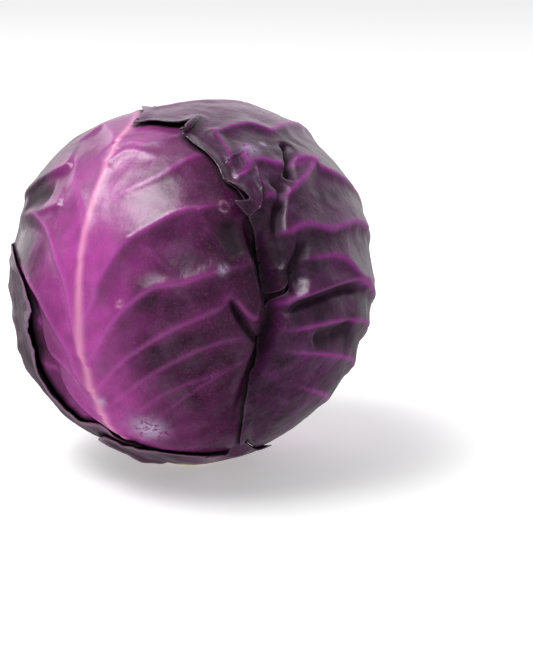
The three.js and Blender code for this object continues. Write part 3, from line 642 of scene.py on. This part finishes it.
def heart_radius(dirs):
    foot = smooth(-0.62, -0.95, dirs[:, 2])
    return skin_radius(dirs) - lerp(HEART_DEPTH, HEART_FOOT_DEPTH, foot) - 0.6 * groove_depth(dirs, 2.2)


def in_ring(ring, chart):
    x, y = chart.T
    inside = np.zeros(len(chart), bool)
    for (ax, ay), (bx, by) in zip(ring[:-1], ring[1:]):
        if ay == by:
            continue
        crosses = (ay > y) != (by > y)
        inside ^= crosses & (x < ax + (bx - ax) * (y - ay) / (by - ay))
    return inside


def inside_edge(leaf, dirs):
    """Distance in mm inside a leaf's edge, less than 0 outside it."""
    inside = in_ring(leaf["ring"], to_chart(leaf["axes"], dirs))
    distance, _ = leaf["edge_line"].nearest(dirs)
    return np.where(inside, distance, -distance)


def rib_share(leaf, dirs):
    distance, along = leaf["rib_line"].nearest(dirs, 40)
    width = leaf["rib"][1] * lerp(1.5, 0.55, along)
    return bell(distance, width) * lerp(1, 0.35, np.sqrt(along))


def blade_thickness(leaf, dirs):
    return BLADE + 0.75 * leaf["rib"][0] * rib_share(leaf, dirs)


def feature_height(feature, dirs):
    reach = 5 * max(feature["width"], feature.get("above", 0))
    distance, along, side = feature["line_on_head"].nearest(dirs, reach, lean=True)
    if feature["height"] > 0:
        towards_tip = 0.5 + 0.5 * side * feature["up"]
        width = lerp(feature["width"], feature["above"], towards_tip)
        crest = np.exp(-(np.hypot(distance, CREST_ROUNDING) - CREST_ROUNDING) / width)
        ends = smooth(1.08, 0.85, along) * smooth(-0.02, feature["root"], along)
        return feature["height"] * crest * (1 - feature["fade"] * along) * ends
    trough = bell(distance, feature["width"])
    return feature["height"] * trough * smooth(0, 0.18, along) * smooth(1, 0.82, along)


def crumple(dirs):
    """Soft facets with rounded crests between them, as in leaf pressed against leaf."""
    total = np.zeros(len(dirs))
    for noise, share in zip(CRUMPLE_NOISE, (1.0, 0.5, 0.12)):
        total += share * (0.55 - 1.6 * np.sqrt(noise(dirs) ** 2 + 0.035))
    return total


def relief(leaf, dirs):
    height, scale, phase = leaf["swell"]
    raised = (leaf["rib"][0] * rib_share(leaf, dirs)) ** 2
    pressed = np.zeros(len(dirs))
    for feature in leaf["features"]:
        rise = feature_height(feature, dirs)
        if feature["height"] > 0:
            raised += rise**2
        else:
            pressed += rise
    waves = height * swell(dirs, scale, phase) + leaf["crumple"] * crumple(dirs)
    return np.sqrt(raised) - SETTLE + pressed + waves


def outer_radius(dirs, level, inside, support):
    """A leaf's outer surface, over the support it rests on."""
    leaf = LEAVES[level]
    covers = [smooth(-3, 6, d) for d in inside[level + 1 :]]
    covered = np.maximum.reduce([np.zeros(len(dirs)), *covers])
    sunk = np.maximum.reduce([np.zeros(len(dirs)), *[smooth(0, 10, d) for d in inside[level + 1 :]]])
    pressed = sum(covers, np.zeros(len(dirs))) * (GAP + BLADE) + SINK * sunk
    lowest = support + GAP + blade_thickness(leaf, dirs)
    skin = skin_radius(dirs) - groove_depth(dirs, cleft_share=leaf.get("cleft_share", 1.0))
    wanted = skin + relief(leaf, dirs) * (1 - PRESSED_FLAT * covered) - pressed
    spare = soft_max(wanted - lowest, 0, 0.6) * smooth(0, TUCK, inside[level])
    lifted = np.zeros(len(dirs))
    for place, height in leaf["lifts"]:
        lifted += height * bell(away_from(place, dirs), LIFT_REACH)
    return lowest + spare + lifted * smooth(TUCK * 1.6, 0, inside[level])


def layer_radius(dirs, level):
    """The outer surface of a leaf over all the leaves under it, and the distance inside its edge."""
    inside = [inside_edge(leaf, dirs) for leaf in LEAVES]
    inside[level] = np.maximum(0, inside[level])
    radius = heart_radius(dirs)
    for k in range(level):
        outer = outer_radius(dirs, k, inside, radius)
        radius = lerp(radius, outer, smooth(-STEP_RAMP, -1, inside[k]))
    return outer_radius(dirs, level, inside, radius), inside[level]


# Meshes


def nearest_on_ring(ring, chart):
    """The nearest point of a ring in the chart, and how far off it is in degrees."""
    best = np.full(len(chart), np.inf)
    spot = chart.copy()
    for start, end in zip(ring[:-1], ring[1:]):
        step = end - start
        t = np.clip((chart - start) @ step / (step @ step + 1e-12), 0, 1)
        foot = start + t[:, None] * step
        gap = np.linalg.norm(chart - foot, axis=1)
        closer = gap < best
        best[closer] = gap[closer]
        spot[closer] = foot[closer]
    return spot, best


def cut_sheet(leaf):
    """Chart points and faces of a fine grid cut to a leaf's outline.

    Grid points next to the outline move onto it.
    """
    ring, spacing = leaf["ring"], leaf["spacing"]
    low = ring.min(0) - spacing
    high = ring.max(0) + spacing
    along = np.arange(low[0], high[0] + spacing, spacing)
    across = np.arange(low[1], high[1] + spacing, spacing)
    rows, columns = len(along), len(across)
    chart = np.stack(np.meshgrid(along, across, indexing="ij"), -1).reshape(-1, 2)
    inside = in_ring(ring, chart)
    rough, _ = leaf["edge_line"].nearest(from_chart(leaf["axes"], chart))
    close = np.flatnonzero(rough < 2.5 * spacing * math.radians(SKIN_RADIUS))
    spot, gap = nearest_on_ring(ring, chart[close])
    snap = gap < 0.55 * spacing
    used = inside.copy()
    used[close[snap]] = True
    centres = (chart.reshape(rows, columns, 2)[:-1, :-1] + spacing / 2).reshape(-1, 2)
    chart[close[snap]] = spot[snap]
    index = np.arange(rows * columns).reshape(rows, columns)
    corners = [index[:-1, :-1], index[:-1, 1:], index[1:, 1:], index[1:, :-1]]
    cells = np.stack([c.ravel() for c in corners], -1)
    good = used[cells]
    whole = cells[(good.sum(1) == 4) & (in_ring(ring, centres) | good.all(1) & inside[cells].any(1))]
    faces = [tuple(f) for f in whole.tolist()]
    for cell, ok in zip(cells[good.sum(1) == 3].tolist(), good[good.sum(1) == 3].tolist()):
        faces.append(tuple(c for c, keep in zip(cell, ok) if keep))
    kept = np.unique(np.concatenate([np.array(f) for f in faces]))
    renumber = np.full(rows * columns, -1)
    renumber[kept] = np.arange(len(kept))
    return chart[kept], [tuple(renumber[list(f)].tolist()) for f in faces]


def closed_sheet(points_out, points_in, faces):
    """A closed thin solid from an outer and an inner face with the same points."""
    count = len(points_out)
    edges = {}
    for face in faces:
        for a, b in zip(face, face[1:] + face[:1]):
            edges[(a, b)] = True
    rim = [(a, b) for a, b in edges if (b, a) not in edges]
    inner = [tuple(i + count for i in reversed(face)) for face in faces]
    walls = [(b, a, a + count, b + count) for a, b in rim]
    return np.vstack([points_out, points_in]), [*faces, *inner, *walls]


def make_piece(name, points, faces, node, attributes=None):
    mesh = bpy.data.meshes.new(name)
    mesh.from_pydata((points * MM).tolist(), [], faces)
    mesh.polygons.foreach_set("use_smooth", [True] * len(mesh.polygons))
    for label, values in (attributes or {}).items():
        layer = mesh.attributes.new(label, "FLOAT", "POINT")
        layer.data.foreach_set("value", np.asarray(values, np.float32))
    mesh.update()
    piece = bpy.data.objects.new(name, mesh)
    bpy.context.scene.collection.objects.link(piece)
    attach(piece, "root")
    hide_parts(node)
    return piece


def leaf_attributes(leaf, dirs, inside):
    """What the leaf's material reads at each point, each from 0 to 1."""
    level = LEAVES.index(leaf)
    line = np.zeros(len(dirs))
    glow = np.zeros(len(dirs))
    # painted_shade: dark paint where shade falls, in the troughs of pressed folds, in the deep cleft and beside
    # leaves that lie over this one
    painted_shade = np.zeros(len(dirs))
    for feature in leaf["features"]:
        distance, along = feature["line_on_head"].nearest(dirs, 40)
        if feature["height"] > 0:
            fade = (1 - 0.5 * along) * smooth(1.05, 0.8, along) * feature["line"]
            line = np.maximum(line, fade * bell(distance, VEIN_LINE_WIDTH))
            glow = np.maximum(glow, fade * np.exp(-distance / VEIN_GLOW_WIDTH))
        else:
            ends = smooth(0, 0.18, along) * smooth(1, 0.82, along)
            painted_shade = np.maximum(painted_shade, ends * bell(distance / feature["width"], 1.4))
    # painted shade in the deep cleft between the front and right leaves
    cleft_shade = smooth(6, 12, groove_depth(dirs))
    painted_shade = np.maximum(painted_shade, cleft_shade)
    # painted shadow in a band beside the edge of each leaf that lies over this one
    for cover in LEAVES[level + 1 :]:
        painted_shade = np.maximum(painted_shade, smooth(-SHADE_WIDTH, 0, inside_edge(cover, dirs)))
    ring = np.zeros(len(dirs))
    for a, b, size in leaf.get("rings", []):
        off = away_from(from_chart(leaf["axes"], [(a, b)])[0], dirs)
        ring = np.maximum(ring, bell(off - size, RING_WIDTH))
    bloom = np.zeros(len(dirs))
    for a, b, size in leaf.get("wax_spots", []):
        off = away_from(from_chart(leaf["axes"], [(a, b)])[0], dirs)
        bloom = np.maximum(bloom, bell(off, size))
    distance, along = leaf["rib_line"].nearest(dirs)
    rib_width = leaf["rib"][1] * lerp(0.95, 0.3, np.sqrt(along))
    chart = to_chart(leaf["axes"], dirs)
    return {
        "vein_line": line,
        "vein_glow": np.maximum(0.75 * glow, bell(distance, RIB_GLOW_WIDTH)),
        # the attribute fold carries the painted shade
        "fold": painted_shade,
        "rib": bell(distance, rib_width) * smooth(1.0, 0.75, along),
        "ring": ring,
        "bloom": bloom,
        "edge": np.clip(inside / 10, 0, 1),
        "along": chart[:, 0] / ALONG_SPAN,
        "across": chart[:, 1] / 180 + 0.5,
    }


def make_sheet(name, points_out, points_in, faces, leaf, values):
    """A closed sheet that stands for one leaf, or a part of it, with what the leaf's material reads."""
    points, faces = closed_sheet(points_out, points_in, faces)
    doubled = {label: np.concatenate([v, v]) for label, v in values.items()}
    return make_piece(name, points, faces, leaf["name"], doubled)


def make_leaf(level):
    leaf = LEAVES[level]
    chart, faces = cut_sheet(leaf)
    dirs = from_chart(leaf["axes"], chart)
    outer, inside = layer_radius(dirs, level)
    thick = blade_thickness(leaf, dirs) * lerp(EDGE_SHARE, 1, smooth(0, EDGE_TAPER, inside))
    values = leaf_attributes(leaf, dirs, inside)
    both = (on_rays(dirs, outer), on_rays(dirs, outer - thick))
    return make_sheet(leaf["name"] + "_blade", *both, faces, leaf, values)


def make_torn_flap():
    """A torn flap of the right leaf, which comes out of the blade along its hinge and stands off it."""
    level = LEAVES.index(RIGHT_LEAF)
    axes = RIGHT_LEAF["axes"]
    ring = spline([*TORN_FLAP, TORN_FLAP[0]], 6)
    ring[-1] = ring[0]
    flap = {"axes": axes, "ring": ring, "edge_line": Line(from_chart(axes, ring)), "spacing": FLAP_SPACING}
    chart, faces = cut_sheet(flap)
    dirs = from_chart(axes, chart)
    under, _ = layer_radius(dirs, level)
    from_hinge, _ = Line(from_chart(axes, spline(FLAP_HINGE, 4))).nearest(dirs)
    inside, _ = flap["edge_line"].nearest(dirs)
    curled = FLAP_CURL * smooth(4, 0, inside) * smooth(4, 9, from_hinge)
    outer = under + lerp(*FLAP_RISE, smooth(0, 9, from_hinge)) + curled
    thick = FLAP_BLADE * lerp(0.6, 1, smooth(0, 2, inside))
    values = leaf_attributes(RIGHT_LEAF, dirs, inside)
    # less of the painted shade on the flap
    values["fold"] *= 0.3
    both = (on_rays(dirs, outer), on_rays(dirs, outer - thick))
    return make_sheet("torn_flap", *both, faces, RIGHT_LEAF, values)


def make_shred():
    """A shred of the torn edge that curls up and back, widest in its middle."""
    level = LEAVES.index(RIGHT_LEAF)
    path = spline(SHRED, 12)
    path = path[np.linspace(0, len(path) - 1, SHRED_ROWS).round().astype(int)]
    dirs = from_chart(RIGHT_LEAF["axes"], path)
    radius, _ = layer_radius(dirs, level)
    base = on_rays(dirs, radius + 0.3)
    ahead = np.gradient(base, axis=0)
    ahead /= np.linalg.norm(ahead, axis=1)[:, None]
    aside = np.cross(ahead, dirs)
    width = SHRED_WIDTH * np.sin(np.pi * np.linspace(0.02, 0.98, SHRED_ROWS)) ** 0.7
    outer, inner = [], []
    for i in range(SHRED_ROWS):
        for j in range(SHRED_COLUMNS):
            turn = math.radians(lerp(*SHRED_TURN, j / (SHRED_COLUMNS - 1)))
            out = width[i] * (1 - math.cos(turn)) * SHRED_BULGE[0] - 0.4
            up = width[i] * math.sin(turn) * SHRED_BULGE[1]
            place = base[i] + aside[i] * out + dirs[i] * up
            away = dirs[i] * math.sin(turn) - aside[i] * math.cos(turn)
            outer.append(place)
            inner.append(place - away * SHRED_BLADE)
    faces = []
    for i in range(SHRED_ROWS - 1):
        for j in range(SHRED_COLUMNS - 1):
            a = i * SHRED_COLUMNS + j
            faces.append((a, a + 1, a + SHRED_COLUMNS + 1, a + SHRED_COLUMNS))
    column = np.tile(np.arange(SHRED_COLUMNS), SHRED_ROWS)
    from_side = 0.6 * np.minimum(column, SHRED_COLUMNS - 1 - column)
    values = leaf_attributes(RIGHT_LEAF, np.repeat(dirs, SHRED_COLUMNS, axis=0), from_side)
    return make_sheet("torn_shred", np.array(outer), np.array(inner), faces, RIGHT_LEAF, values)


def ring_faces(rows, turns):
    faces = []
    for i in range(rows - 1):
        for k in range(turns):
            n = (k + 1) % turns
            faces.append((i * turns + k, (i + 1) * turns + k, (i + 1) * turns + n, i * turns + n))
    return faces


def circle(radius, z, turn):
    return np.column_stack([radius * np.cos(turn), radius * np.sin(turn), np.full(len(turn), float(z))])


def make_heart():
    """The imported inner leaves, as one ball with an open pit round the stem, closed by a flat floor inside."""
    turns, rows, foot_angle = 144, 90, 160
    polar = np.radians(np.linspace(0.5, foot_angle, rows))
    turn = full_turn(turns)
    p, t = np.meshgrid(polar, turn, indexing="ij")
    dirs = np.stack([np.sin(p) * np.cos(t), np.sin(p) * np.sin(t), np.cos(p)], -1).reshape(-1, 3)
    ball = on_rays(dirs, heart_radius(dirs))
    pit = [circle(STEM_RADIUS + 0.2, z, turn) for z in PIT_LEVELS]
    faces = ring_faces(rows + 2, turns)
    top = tuple(range(turns))
    bottom = tuple(reversed(range((rows + 1) * turns, (rows + 2) * turns)))
    return make_piece("heart_ball", np.vstack([ball, *pit]), [*faces, top, bottom], "heart")


def make_stem():
    """The cut stem, with faint ledges where lower leaves were taken off."""
    turns = 120
    wobble = Noise(21, 9.0)
    turn = full_turn(turns)
    rings = []
    for z in STEM_LEVELS:
        ledge = STEM_LEDGE * np.sin(z * 1.7 + 2 * turn)
        spot = np.column_stack([np.cos(turn), np.sin(turn), np.full(turns, z / 20)])
        uneven = (ledge + STEM_LEDGE * wobble(spot * 0.4)) * smooth(0.5, 3, z)
        chamfer = STEM_CHAMFER * (1 - smooth(0, 1.2, z))
        radius = STEM_RADIUS - STEM_TAPER * smooth(4, STEM_HEIGHT, z) - chamfer - 0.4 + uneven
        rings.append(circle(radius, z, turn))
    faces = [tuple(reversed(f)) for f in ring_faces(len(STEM_LEVELS), turns)]
    last = (len(STEM_LEVELS) - 1) * turns
    caps = [tuple(reversed(range(turns))), tuple(range(last, last + turns))]
    return make_piece("stem_cut", np.vstack(rings), [*faces, *caps], "stem_and_core")


# Materials


def paint(red, green, blue):
    """A colour in screen values 0 to 255, as the light values that a material takes."""

    def channel(value):
        share = value / 255
        return share / 12.92 if share <= 0.04045 else ((share + 0.055) / 1.055) ** 2.4

    return (channel(red), channel(green), channel(blue), 1.0)


class Graph:
    """Nodes of a material or the world, with short calls for the kinds used here."""

    def __init__(self, tree):
        self.tree = tree

    def node(self, kind):
        return self.tree.nodes.new("ShaderNode" + kind)

    def put(self, socket, value):
        if hasattr(value, "is_output"):
            self.tree.links.new(value, socket)
        else:
            socket.default_value = value

    def fill(self, node, **values):
        """Put values in a node's inputs, by name with _ for a space."""
        for label, value in values.items():
            self.put(node.inputs[label.replace("_", " ")], value)
        return node

    def maths(self, operation, a, b, clamp=False):
        node = self.node("Math")
        node.operation = operation
        node.use_clamp = clamp
        self.put(node.inputs[0], a)
        self.put(node.inputs[1], b)
        return node.outputs[0]

    def times(self, a, b):
        return self.maths("MULTIPLY", a, b)

    def plus(self, a, b, clamp=False):
        return self.maths("ADD", a, b, clamp)

    def between(self, value, low, high, to_low=0.0, to_high=1.0, kind="SMOOTHSTEP"):
        """to_low to to_high as the value goes from low to high."""
        node = self.node("MapRange")
        node.interpolation_type = kind
        self.fill(node, Value=value, From_Min=low, From_Max=high, To_Min=to_low, To_Max=to_high)
        return node.outputs[0]


class Skin(Graph):
    """A material with one principled shader."""

    def __init__(self, name):
        self.material = bpy.data.materials.new(name)
        self.material.use_nodes = True
        super().__init__(self.material.node_tree)
        self.tree.nodes.clear()
        self.shader = self.node("BsdfPrincipled")
        self.put(self.node("OutputMaterial").inputs[0], self.shader.outputs[0])
        self.place = self.node("TexCoord").outputs["Object"]

    def set(self, **values):
        self.fill(self.shader, **values)

    def attribute(self, name):
        node = self.node("Attribute")
        node.attribute_name = name
        return node.outputs["Fac"]

    def mix(self, share, a, b):
        node = self.node("Mix")
        node.data_type = "RGBA"
        for socket, value in zip((0, 6, 7), (share, a, b)):
            self.put(node.inputs[socket], value)
        return node.outputs[2]

    def noise(self, size, detail=3.0, rough=0.5, distort=0.0, place=None):
        """Noise from 0 to 1 with bumps about size mm apart."""
        node = self.fill(self.node("TexNoise"), Vector=place or self.place, Scale=1 / (size * MM))
        self.fill(node, Detail=detail, Roughness=rough, Distortion=distort)
        return node.outputs["Fac"]

    def warped_place(self, size, shift):
        """The place, pushed about by up to shift mm."""
        noise = self.fill(self.node("TexNoise"), Vector=self.place, Scale=1 / (size * MM))
        scaled = self.node("VectorMath")
        scaled.operation = "MULTIPLY_ADD"
        for socket, value in zip(scaled.inputs, (noise.outputs["Color"], (shift * MM,) * 3, self.place)):
            self.put(socket, value)
        return scaled.outputs[0]

    def streaks(self, wide, long):
        """A place where noise of size 1 mm makes marks so many mm wide and long, along the leaf."""
        joined = self.node("CombineXYZ")
        half_round = math.pi * SKIN_RADIUS * MM
        self.put(joined.inputs[0], self.times(self.attribute("along"), half_round * ALONG_SPAN / 180 / long))
        self.put(joined.inputs[1], self.times(self.attribute("across"), half_round / wide))
        return joined.outputs[0]

    def net(self, size, place):
        """A net of cells about size mm wide: the distance from the cell walls."""
        node = self.fill(self.node("TexVoronoi"), Vector=place, Scale=1 / (size * MM))
        node.feature = "DISTANCE_TO_EDGE"
        return node.outputs["Distance"]

    def bump(self, height, depth, normal=None):
        node = self.fill(self.node("Bump"), Height=height, Strength=1.0, Distance=depth * MM)
        if normal is not None:
            self.put(node.inputs["Normal"], normal)
        return node.outputs[0]


# What each leaf looks like. vein, rib and edge are their colours, and fold is the colour of the painted shade
# in folds, in the cleft and beside a leaf that lies over this one. flesh is the colour beside veins and deep
# between them. far is the colour of the painted shade towards the right edge, from far_start to far_end across
# the leaf, and by the share far_left towards the left edge. rim is how far in the cut rim's colour reaches, and
# rough the roughness. The
# others are shares: how much the glow beside veins, the pale patches, the vein lines, the fine net, the haze of
# wax and the dark tip show.
COMMON_LOOK = {
    "fold": paint(34, 12, 30), "far_start": 0.7, "far_end": 1.0, "far_left": 0.0, "glow": 0.7, "patches": 0.3,
    "line": 0.5, "net": 0.04, "haze": 0.12, "tip": 0.55, "rim": 0.08, "rough": 0.3,
}
BACK_LOOK = {
    **COMMON_LOOK,
    "flesh": paint(116, 50, 106), "deep": paint(62, 26, 56), "far": paint(64, 34, 58),
    "vein": paint(156, 74, 144), "rib": paint(190, 120, 165), "edge": paint(90, 60, 84),
}
FRONT_LOOK = {
    **COMMON_LOOK,
    "flesh": paint(170, 64, 150), "deep": paint(52, 4, 42), "far": paint(54, 16, 48),
    "vein": paint(196, 82, 182), "rib": paint(228, 144, 188), "edge": paint(130, 56, 118),
    "fold": paint(22, 4, 18), "far_start": 0.57, "far_end": 0.86, "far_left": 1.0, "glow": 0.95,
    "patches": 0.15, "net": 0.0, "haze": 0.05, "tip": 0.35, "rough": 0.25,
}
RIGHT_LOOK = {
    **COMMON_LOOK,
    "flesh": paint(136, 56, 128), "deep": paint(48, 24, 44), "far": paint(46, 24, 42),
    "vein": paint(192, 64, 182), "rib": paint(170, 96, 150), "edge": paint(96, 74, 92),
    "fold": paint(42, 18, 38), "glow": 0.8, "patches": 0.15, "line": 0.85, "net": 0.05, "haze": 0.06,
    "tip": 0.6, "rough": 0.25,
}
LEFT_LOOK = {
    **COMMON_LOOK,
    "flesh": paint(122, 70, 112), "deep": paint(62, 36, 56), "far": paint(44, 32, 40),
    "vein": paint(112, 72, 102), "rib": paint(150, 116, 134), "edge": paint(168, 128, 158),
    "fold": paint(26, 16, 22), "far_start": 0.6, "glow": 0.5, "net": 0.06, "rim": 0.35, "rough": 0.32,
}
LEAF_LOOKS = [BACK_LOOK, FRONT_LOOK, RIGHT_LOOK, LEFT_LOOK, LEFT_LOOK]
WAX = paint(176, 160, 190)
SCAR = paint(206, 150, 180)
COAT = 0.15
RELIEF_BUMP, STREAK_BUMP, GRAIN_BUMP = 0.36, 0.09, 0.02


def leaf_material(name, look):
    g = Skin(name + "_skin")
    painted_shade, across = g.attribute("fold"), g.attribute("across")
    broad = g.noise(28, 4, 0.55, 0.4)
    mottle = g.noise(6, 5, 0.6)
    patches = g.between(g.net(17, g.warped_place(16, 12.0)), 0.0, 0.3, 1.0, 0.0)
    net = g.between(g.net(4.5, g.warped_place(6, 4.0)), 0.0, 0.16, 1.0, 0.0)

    # The flesh, lighter beside veins, with painted shade towards the sides, and darker towards the tip
    near = g.plus(g.times(g.attribute("vein_glow"), look["glow"]), g.times(patches, look["patches"]))
    near = g.plus(near, g.times(g.plus(broad, -0.55), 0.9), True)
    colour = g.mix(near, look["deep"], look["flesh"])
    # painted shade towards the right edge of the leaf
    waved = g.plus(across, g.times(g.plus(broad, -0.5), 0.2))
    far = g.between(waved, look["far_start"], look["far_end"])
    colour = g.mix(g.times(far, 0.75), colour, look["far"])
    # painted shade towards the left edge of the leaf
    waved = g.plus(across, g.times(g.plus(broad, -0.5), 0.25))
    colour = g.mix(g.between(waved, 0.37, 0.27, 0.0, look["far_left"]), colour, look["far"])
    tip = g.between(g.attribute("along"), 0.6, 0.9, 0.0, look["tip"])
    colour = g.mix(tip, colour, look["deep"])
    colour = g.mix(g.between(mottle, 0.35, 0.8, 0.0, 0.3), colour, look["deep"])

    # Veins, the midrib, speckles and fine scratches
    colour = g.mix(g.times(net, look["net"]), colour, look["vein"])
    colour = g.mix(g.times(g.attribute("vein_line"), look["line"]), colour, look["vein"])
    colour = g.mix(g.times(g.attribute("rib"), 0.9), colour, look["rib"])
    colour = g.mix(g.between(g.noise(0.8, 2, 0.6), 0.5, 0.75, 0.0, 0.09), colour, look["rib"])
    scratch = g.between(g.noise(1.0, 1, 0.4, 0.0, g.streaks(0.5, 11)), 0.74, 0.8, 0.0, 0.25)
    colour = g.mix(scratch, colour, look["vein"])

    # Painted shade in folds, in the cleft and beside covering leaves; the cut rim, round scars and wax
    colour = g.mix(g.times(painted_shade, 0.8), colour, look["fold"])
    rim = g.between(g.attribute("edge"), 0.0, look["rim"], 1.0, 0.0)
    colour = g.mix(g.times(rim, 0.6), colour, look["edge"])
    ring = g.times(g.attribute("ring"), g.between(g.noise(1.2, 3, 0.6), 0.35, 0.6, 0.1, 0.7))
    colour = g.mix(ring, colour, SCAR)
    cloud = g.between(g.noise(11, 6, 0.62, 0.6), 0.46, 0.72)
    spots = g.times(g.attribute("bloom"), g.between(g.noise(3.2, 6, 0.7, 0.8), 0.38, 0.52))
    wax = g.plus(g.times(cloud, look["haze"]), g.times(spots, 0.95), True)
    rough = g.between(mottle, 0.3, 0.75, look["rough"], look["rough"] + 0.1)

    skin = g.plus(g.times(g.noise(9, 3, 0.5), 1.0), g.times(g.noise(2.4, 3, 0.6), 0.14))
    skin = g.plus(skin, g.times(net, look["net"] * 2))
    normal = g.bump(skin, RELIEF_BUMP)
    normal = g.bump(g.noise(1.0, 3, 0.6, 0.0, g.streaks(1.5, 9)), STREAK_BUMP, normal)
    g.set(
        Base_Color=g.mix(wax, colour, WAX),
        Roughness=g.plus(g.plus(rough, wax), g.times(painted_shade, 0.4), True),
        Specular_IOR_Level=0.4,
        Coat_Weight=g.between(painted_shade, 0.0, 0.6, COAT, 0.0),
        Coat_Roughness=0.12,
        Normal=g.bump(g.noise(0.6, 3, 0.6), GRAIN_BUMP, normal),
    )
    return g.material


def heart_material():
    g = Skin("heart_skin")
    broad = g.between(g.noise(22, 4, 0.6), 0.35, 0.7)
    g.set(
        Base_Color=g.mix(broad, paint(96, 40, 90), paint(150, 80, 140)),
        Roughness=0.4,
        Normal=g.bump(g.noise(6, 4), 0.4),
    )
    return g.material


def stem_material():
    g = Skin("stem_flesh_cut")
    streaks = g.noise(1.6, 5, 0.6)
    patches = g.between(g.noise(9, 4, 0.55), 0.35, 0.7)
    colour = g.mix(patches, paint(226, 216, 180), paint(202, 182, 140))
    g.set(
        Base_Color=g.mix(g.times(g.between(streaks, 0.45, 0.75), 0.4), colour, paint(172, 148, 112)),
        Roughness=g.between(streaks, 0.3, 0.7, 0.5, 0.72),
        Normal=g.bump(streaks, 0.25),
    )
    return g.material


# The object

for level, (leaf, look) in enumerate(zip(LEAVES, LEAF_LOOKS)):
    skin = leaf_material(leaf["name"], look)
    make_leaf(level).data.materials.append(skin)
    if leaf is RIGHT_LEAF:
        make_torn_flap().data.materials.append(skin)
        make_shred().data.materials.append(skin)
make_heart().data.materials.append(heart_material())
make_stem().data.materials.append(stem_material())


# Floor, in metres, and lights

FLOOR_HALF = 6.0
WHITE = (1.0, 1.0, 1.0, 1.0)
KEY_DIRECTION = (-0.425, -0.13, 0.896)

# Soft lights: the direction from the head's middle, the distance, width and height in metres, the power in
# watts, and whether the leaves' gloss shows the light
SOFTBOXES = {
    "key": (KEY_DIRECTION, 1.1, 0.55, 0.4, 5.5, True),
    "key_halo": (KEY_DIRECTION, 1.12, 0.95, 0.75, 8, True),
    "left_side": ((-0.8, 0.8, 0.3), 1.2, 0.7, 0.9, 2.4, True),
    "right_side": ((0.8, 0.8, 0.4), 1.2, 0.6, 0.9, 1.6, False),
}

# Camera, in millimetres and degrees, and where the head's middle falls in the image and how large it is
# there, in the image's pixels
IMAGE_WIDTH, IMAGE_HEIGHT = 533, 666
HEAD_PIXEL = (190, 284)
HEAD_PIXEL_RADIUS = 182
CAMERA_ELEVATION = 15
CAMERA_DISTANCE = 1000
SENSOR = 36


def make_floor():
    mesh = bpy.data.meshes.new("floor")
    corners = [(x * FLOOR_HALF, y * FLOOR_HALF, 0) for x, y in ((-1, -1), (1, -1), (1, 1), (-1, 1))]
    mesh.from_pydata(corners, [], [(0, 1, 2, 3)])
    floor = bpy.data.objects.new("floor", mesh)
    bpy.context.scene.collection.objects.link(floor)
    g = Skin("floor_paper")
    g.set(Base_Color=(0.86, 0.86, 0.86, 1.0), Emission_Color=WHITE, Emission_Strength=0.36)
    g.set(Roughness=0.8, Specular_IOR_Level=0.2)
    mesh.materials.append(g.material)
    floor.visible_glossy = False


def add_softbox(name, direction, distance, width, height, power, mirrored):
    light = bpy.data.lights.new(name, "AREA")
    light.shape = "RECTANGLE"
    light.size = width
    light.size_y = height
    light.energy = power
    lamp = bpy.data.objects.new(name, light)
    aim = Vector(direction).normalized()
    lamp.location = Vector((0, 0, CENTRE_HEIGHT * MM)) + aim * distance
    lamp.rotation_mode = "QUATERNION"
    lamp.rotation_quaternion = aim.to_track_quat("Z", "Y")
    lamp.visible_glossy = mirrored
    bpy.context.scene.collection.objects.link(lamp)


def light_world():
    """White all round, dimmer below and on the side the camera looks from."""
    world = bpy.data.worlds.new("white_room")
    bpy.context.scene.world = world
    world.use_nodes = True
    g = Graph(world.node_tree)
    split = g.node("SeparateXYZ")
    g.put(split.inputs[0], g.node("TexCoord").outputs["Generated"])
    behind = g.between(split.outputs[1], 0.15, 0.9, 0.2, 1.1, "LINEAR")
    above = g.between(split.outputs[2], -0.35, 0.15, 0.3, 1.0, "LINEAR")
    g.fill(g.tree.nodes["Background"], Color=WHITE, Strength=g.times(behind, above))


def make_camera():
    focal_pixels = HEAD_PIXEL_RADIUS * math.sqrt(CAMERA_DISTANCE**2 - SKIN_RADIUS**2) / SKIN_RADIUS
    data = bpy.data.cameras.new("camera")
    data.sensor_width = SENSOR
    data.lens = SENSOR * focal_pixels / IMAGE_HEIGHT
    camera = bpy.data.objects.new("camera", data)
    up_angle = math.radians(CAMERA_ELEVATION)
    middle = Vector((0, 0, CENTRE_HEIGHT))
    back = Vector((0, -math.cos(up_angle), math.sin(up_angle)))
    up = Vector((0, math.sin(up_angle), math.cos(up_angle)))
    place = middle + back * CAMERA_DISTANCE
    mm_per_pixel = CAMERA_DISTANCE / focal_pixels
    right_shift = (IMAGE_WIDTH / 2 - HEAD_PIXEL[0]) * mm_per_pixel
    down_shift = (IMAGE_HEIGHT / 2 - HEAD_PIXEL[1]) * mm_per_pixel
    aim = middle + Vector((1, 0, 0)) * right_shift - up * down_shift
    camera.location = place * MM
    camera.rotation_mode = "QUATERNION"
    camera.rotation_quaternion = (aim - place).to_track_quat("-Z", "Y")
    bpy.context.scene.collection.objects.link(camera)
    bpy.context.scene.camera = camera


make_floor()
light_world()
for name, softbox in SOFTBOXES.items():
    add_softbox(name, *softbox)
make_camera()
bpy.context.scene.view_settings.view_transform = "Standard"
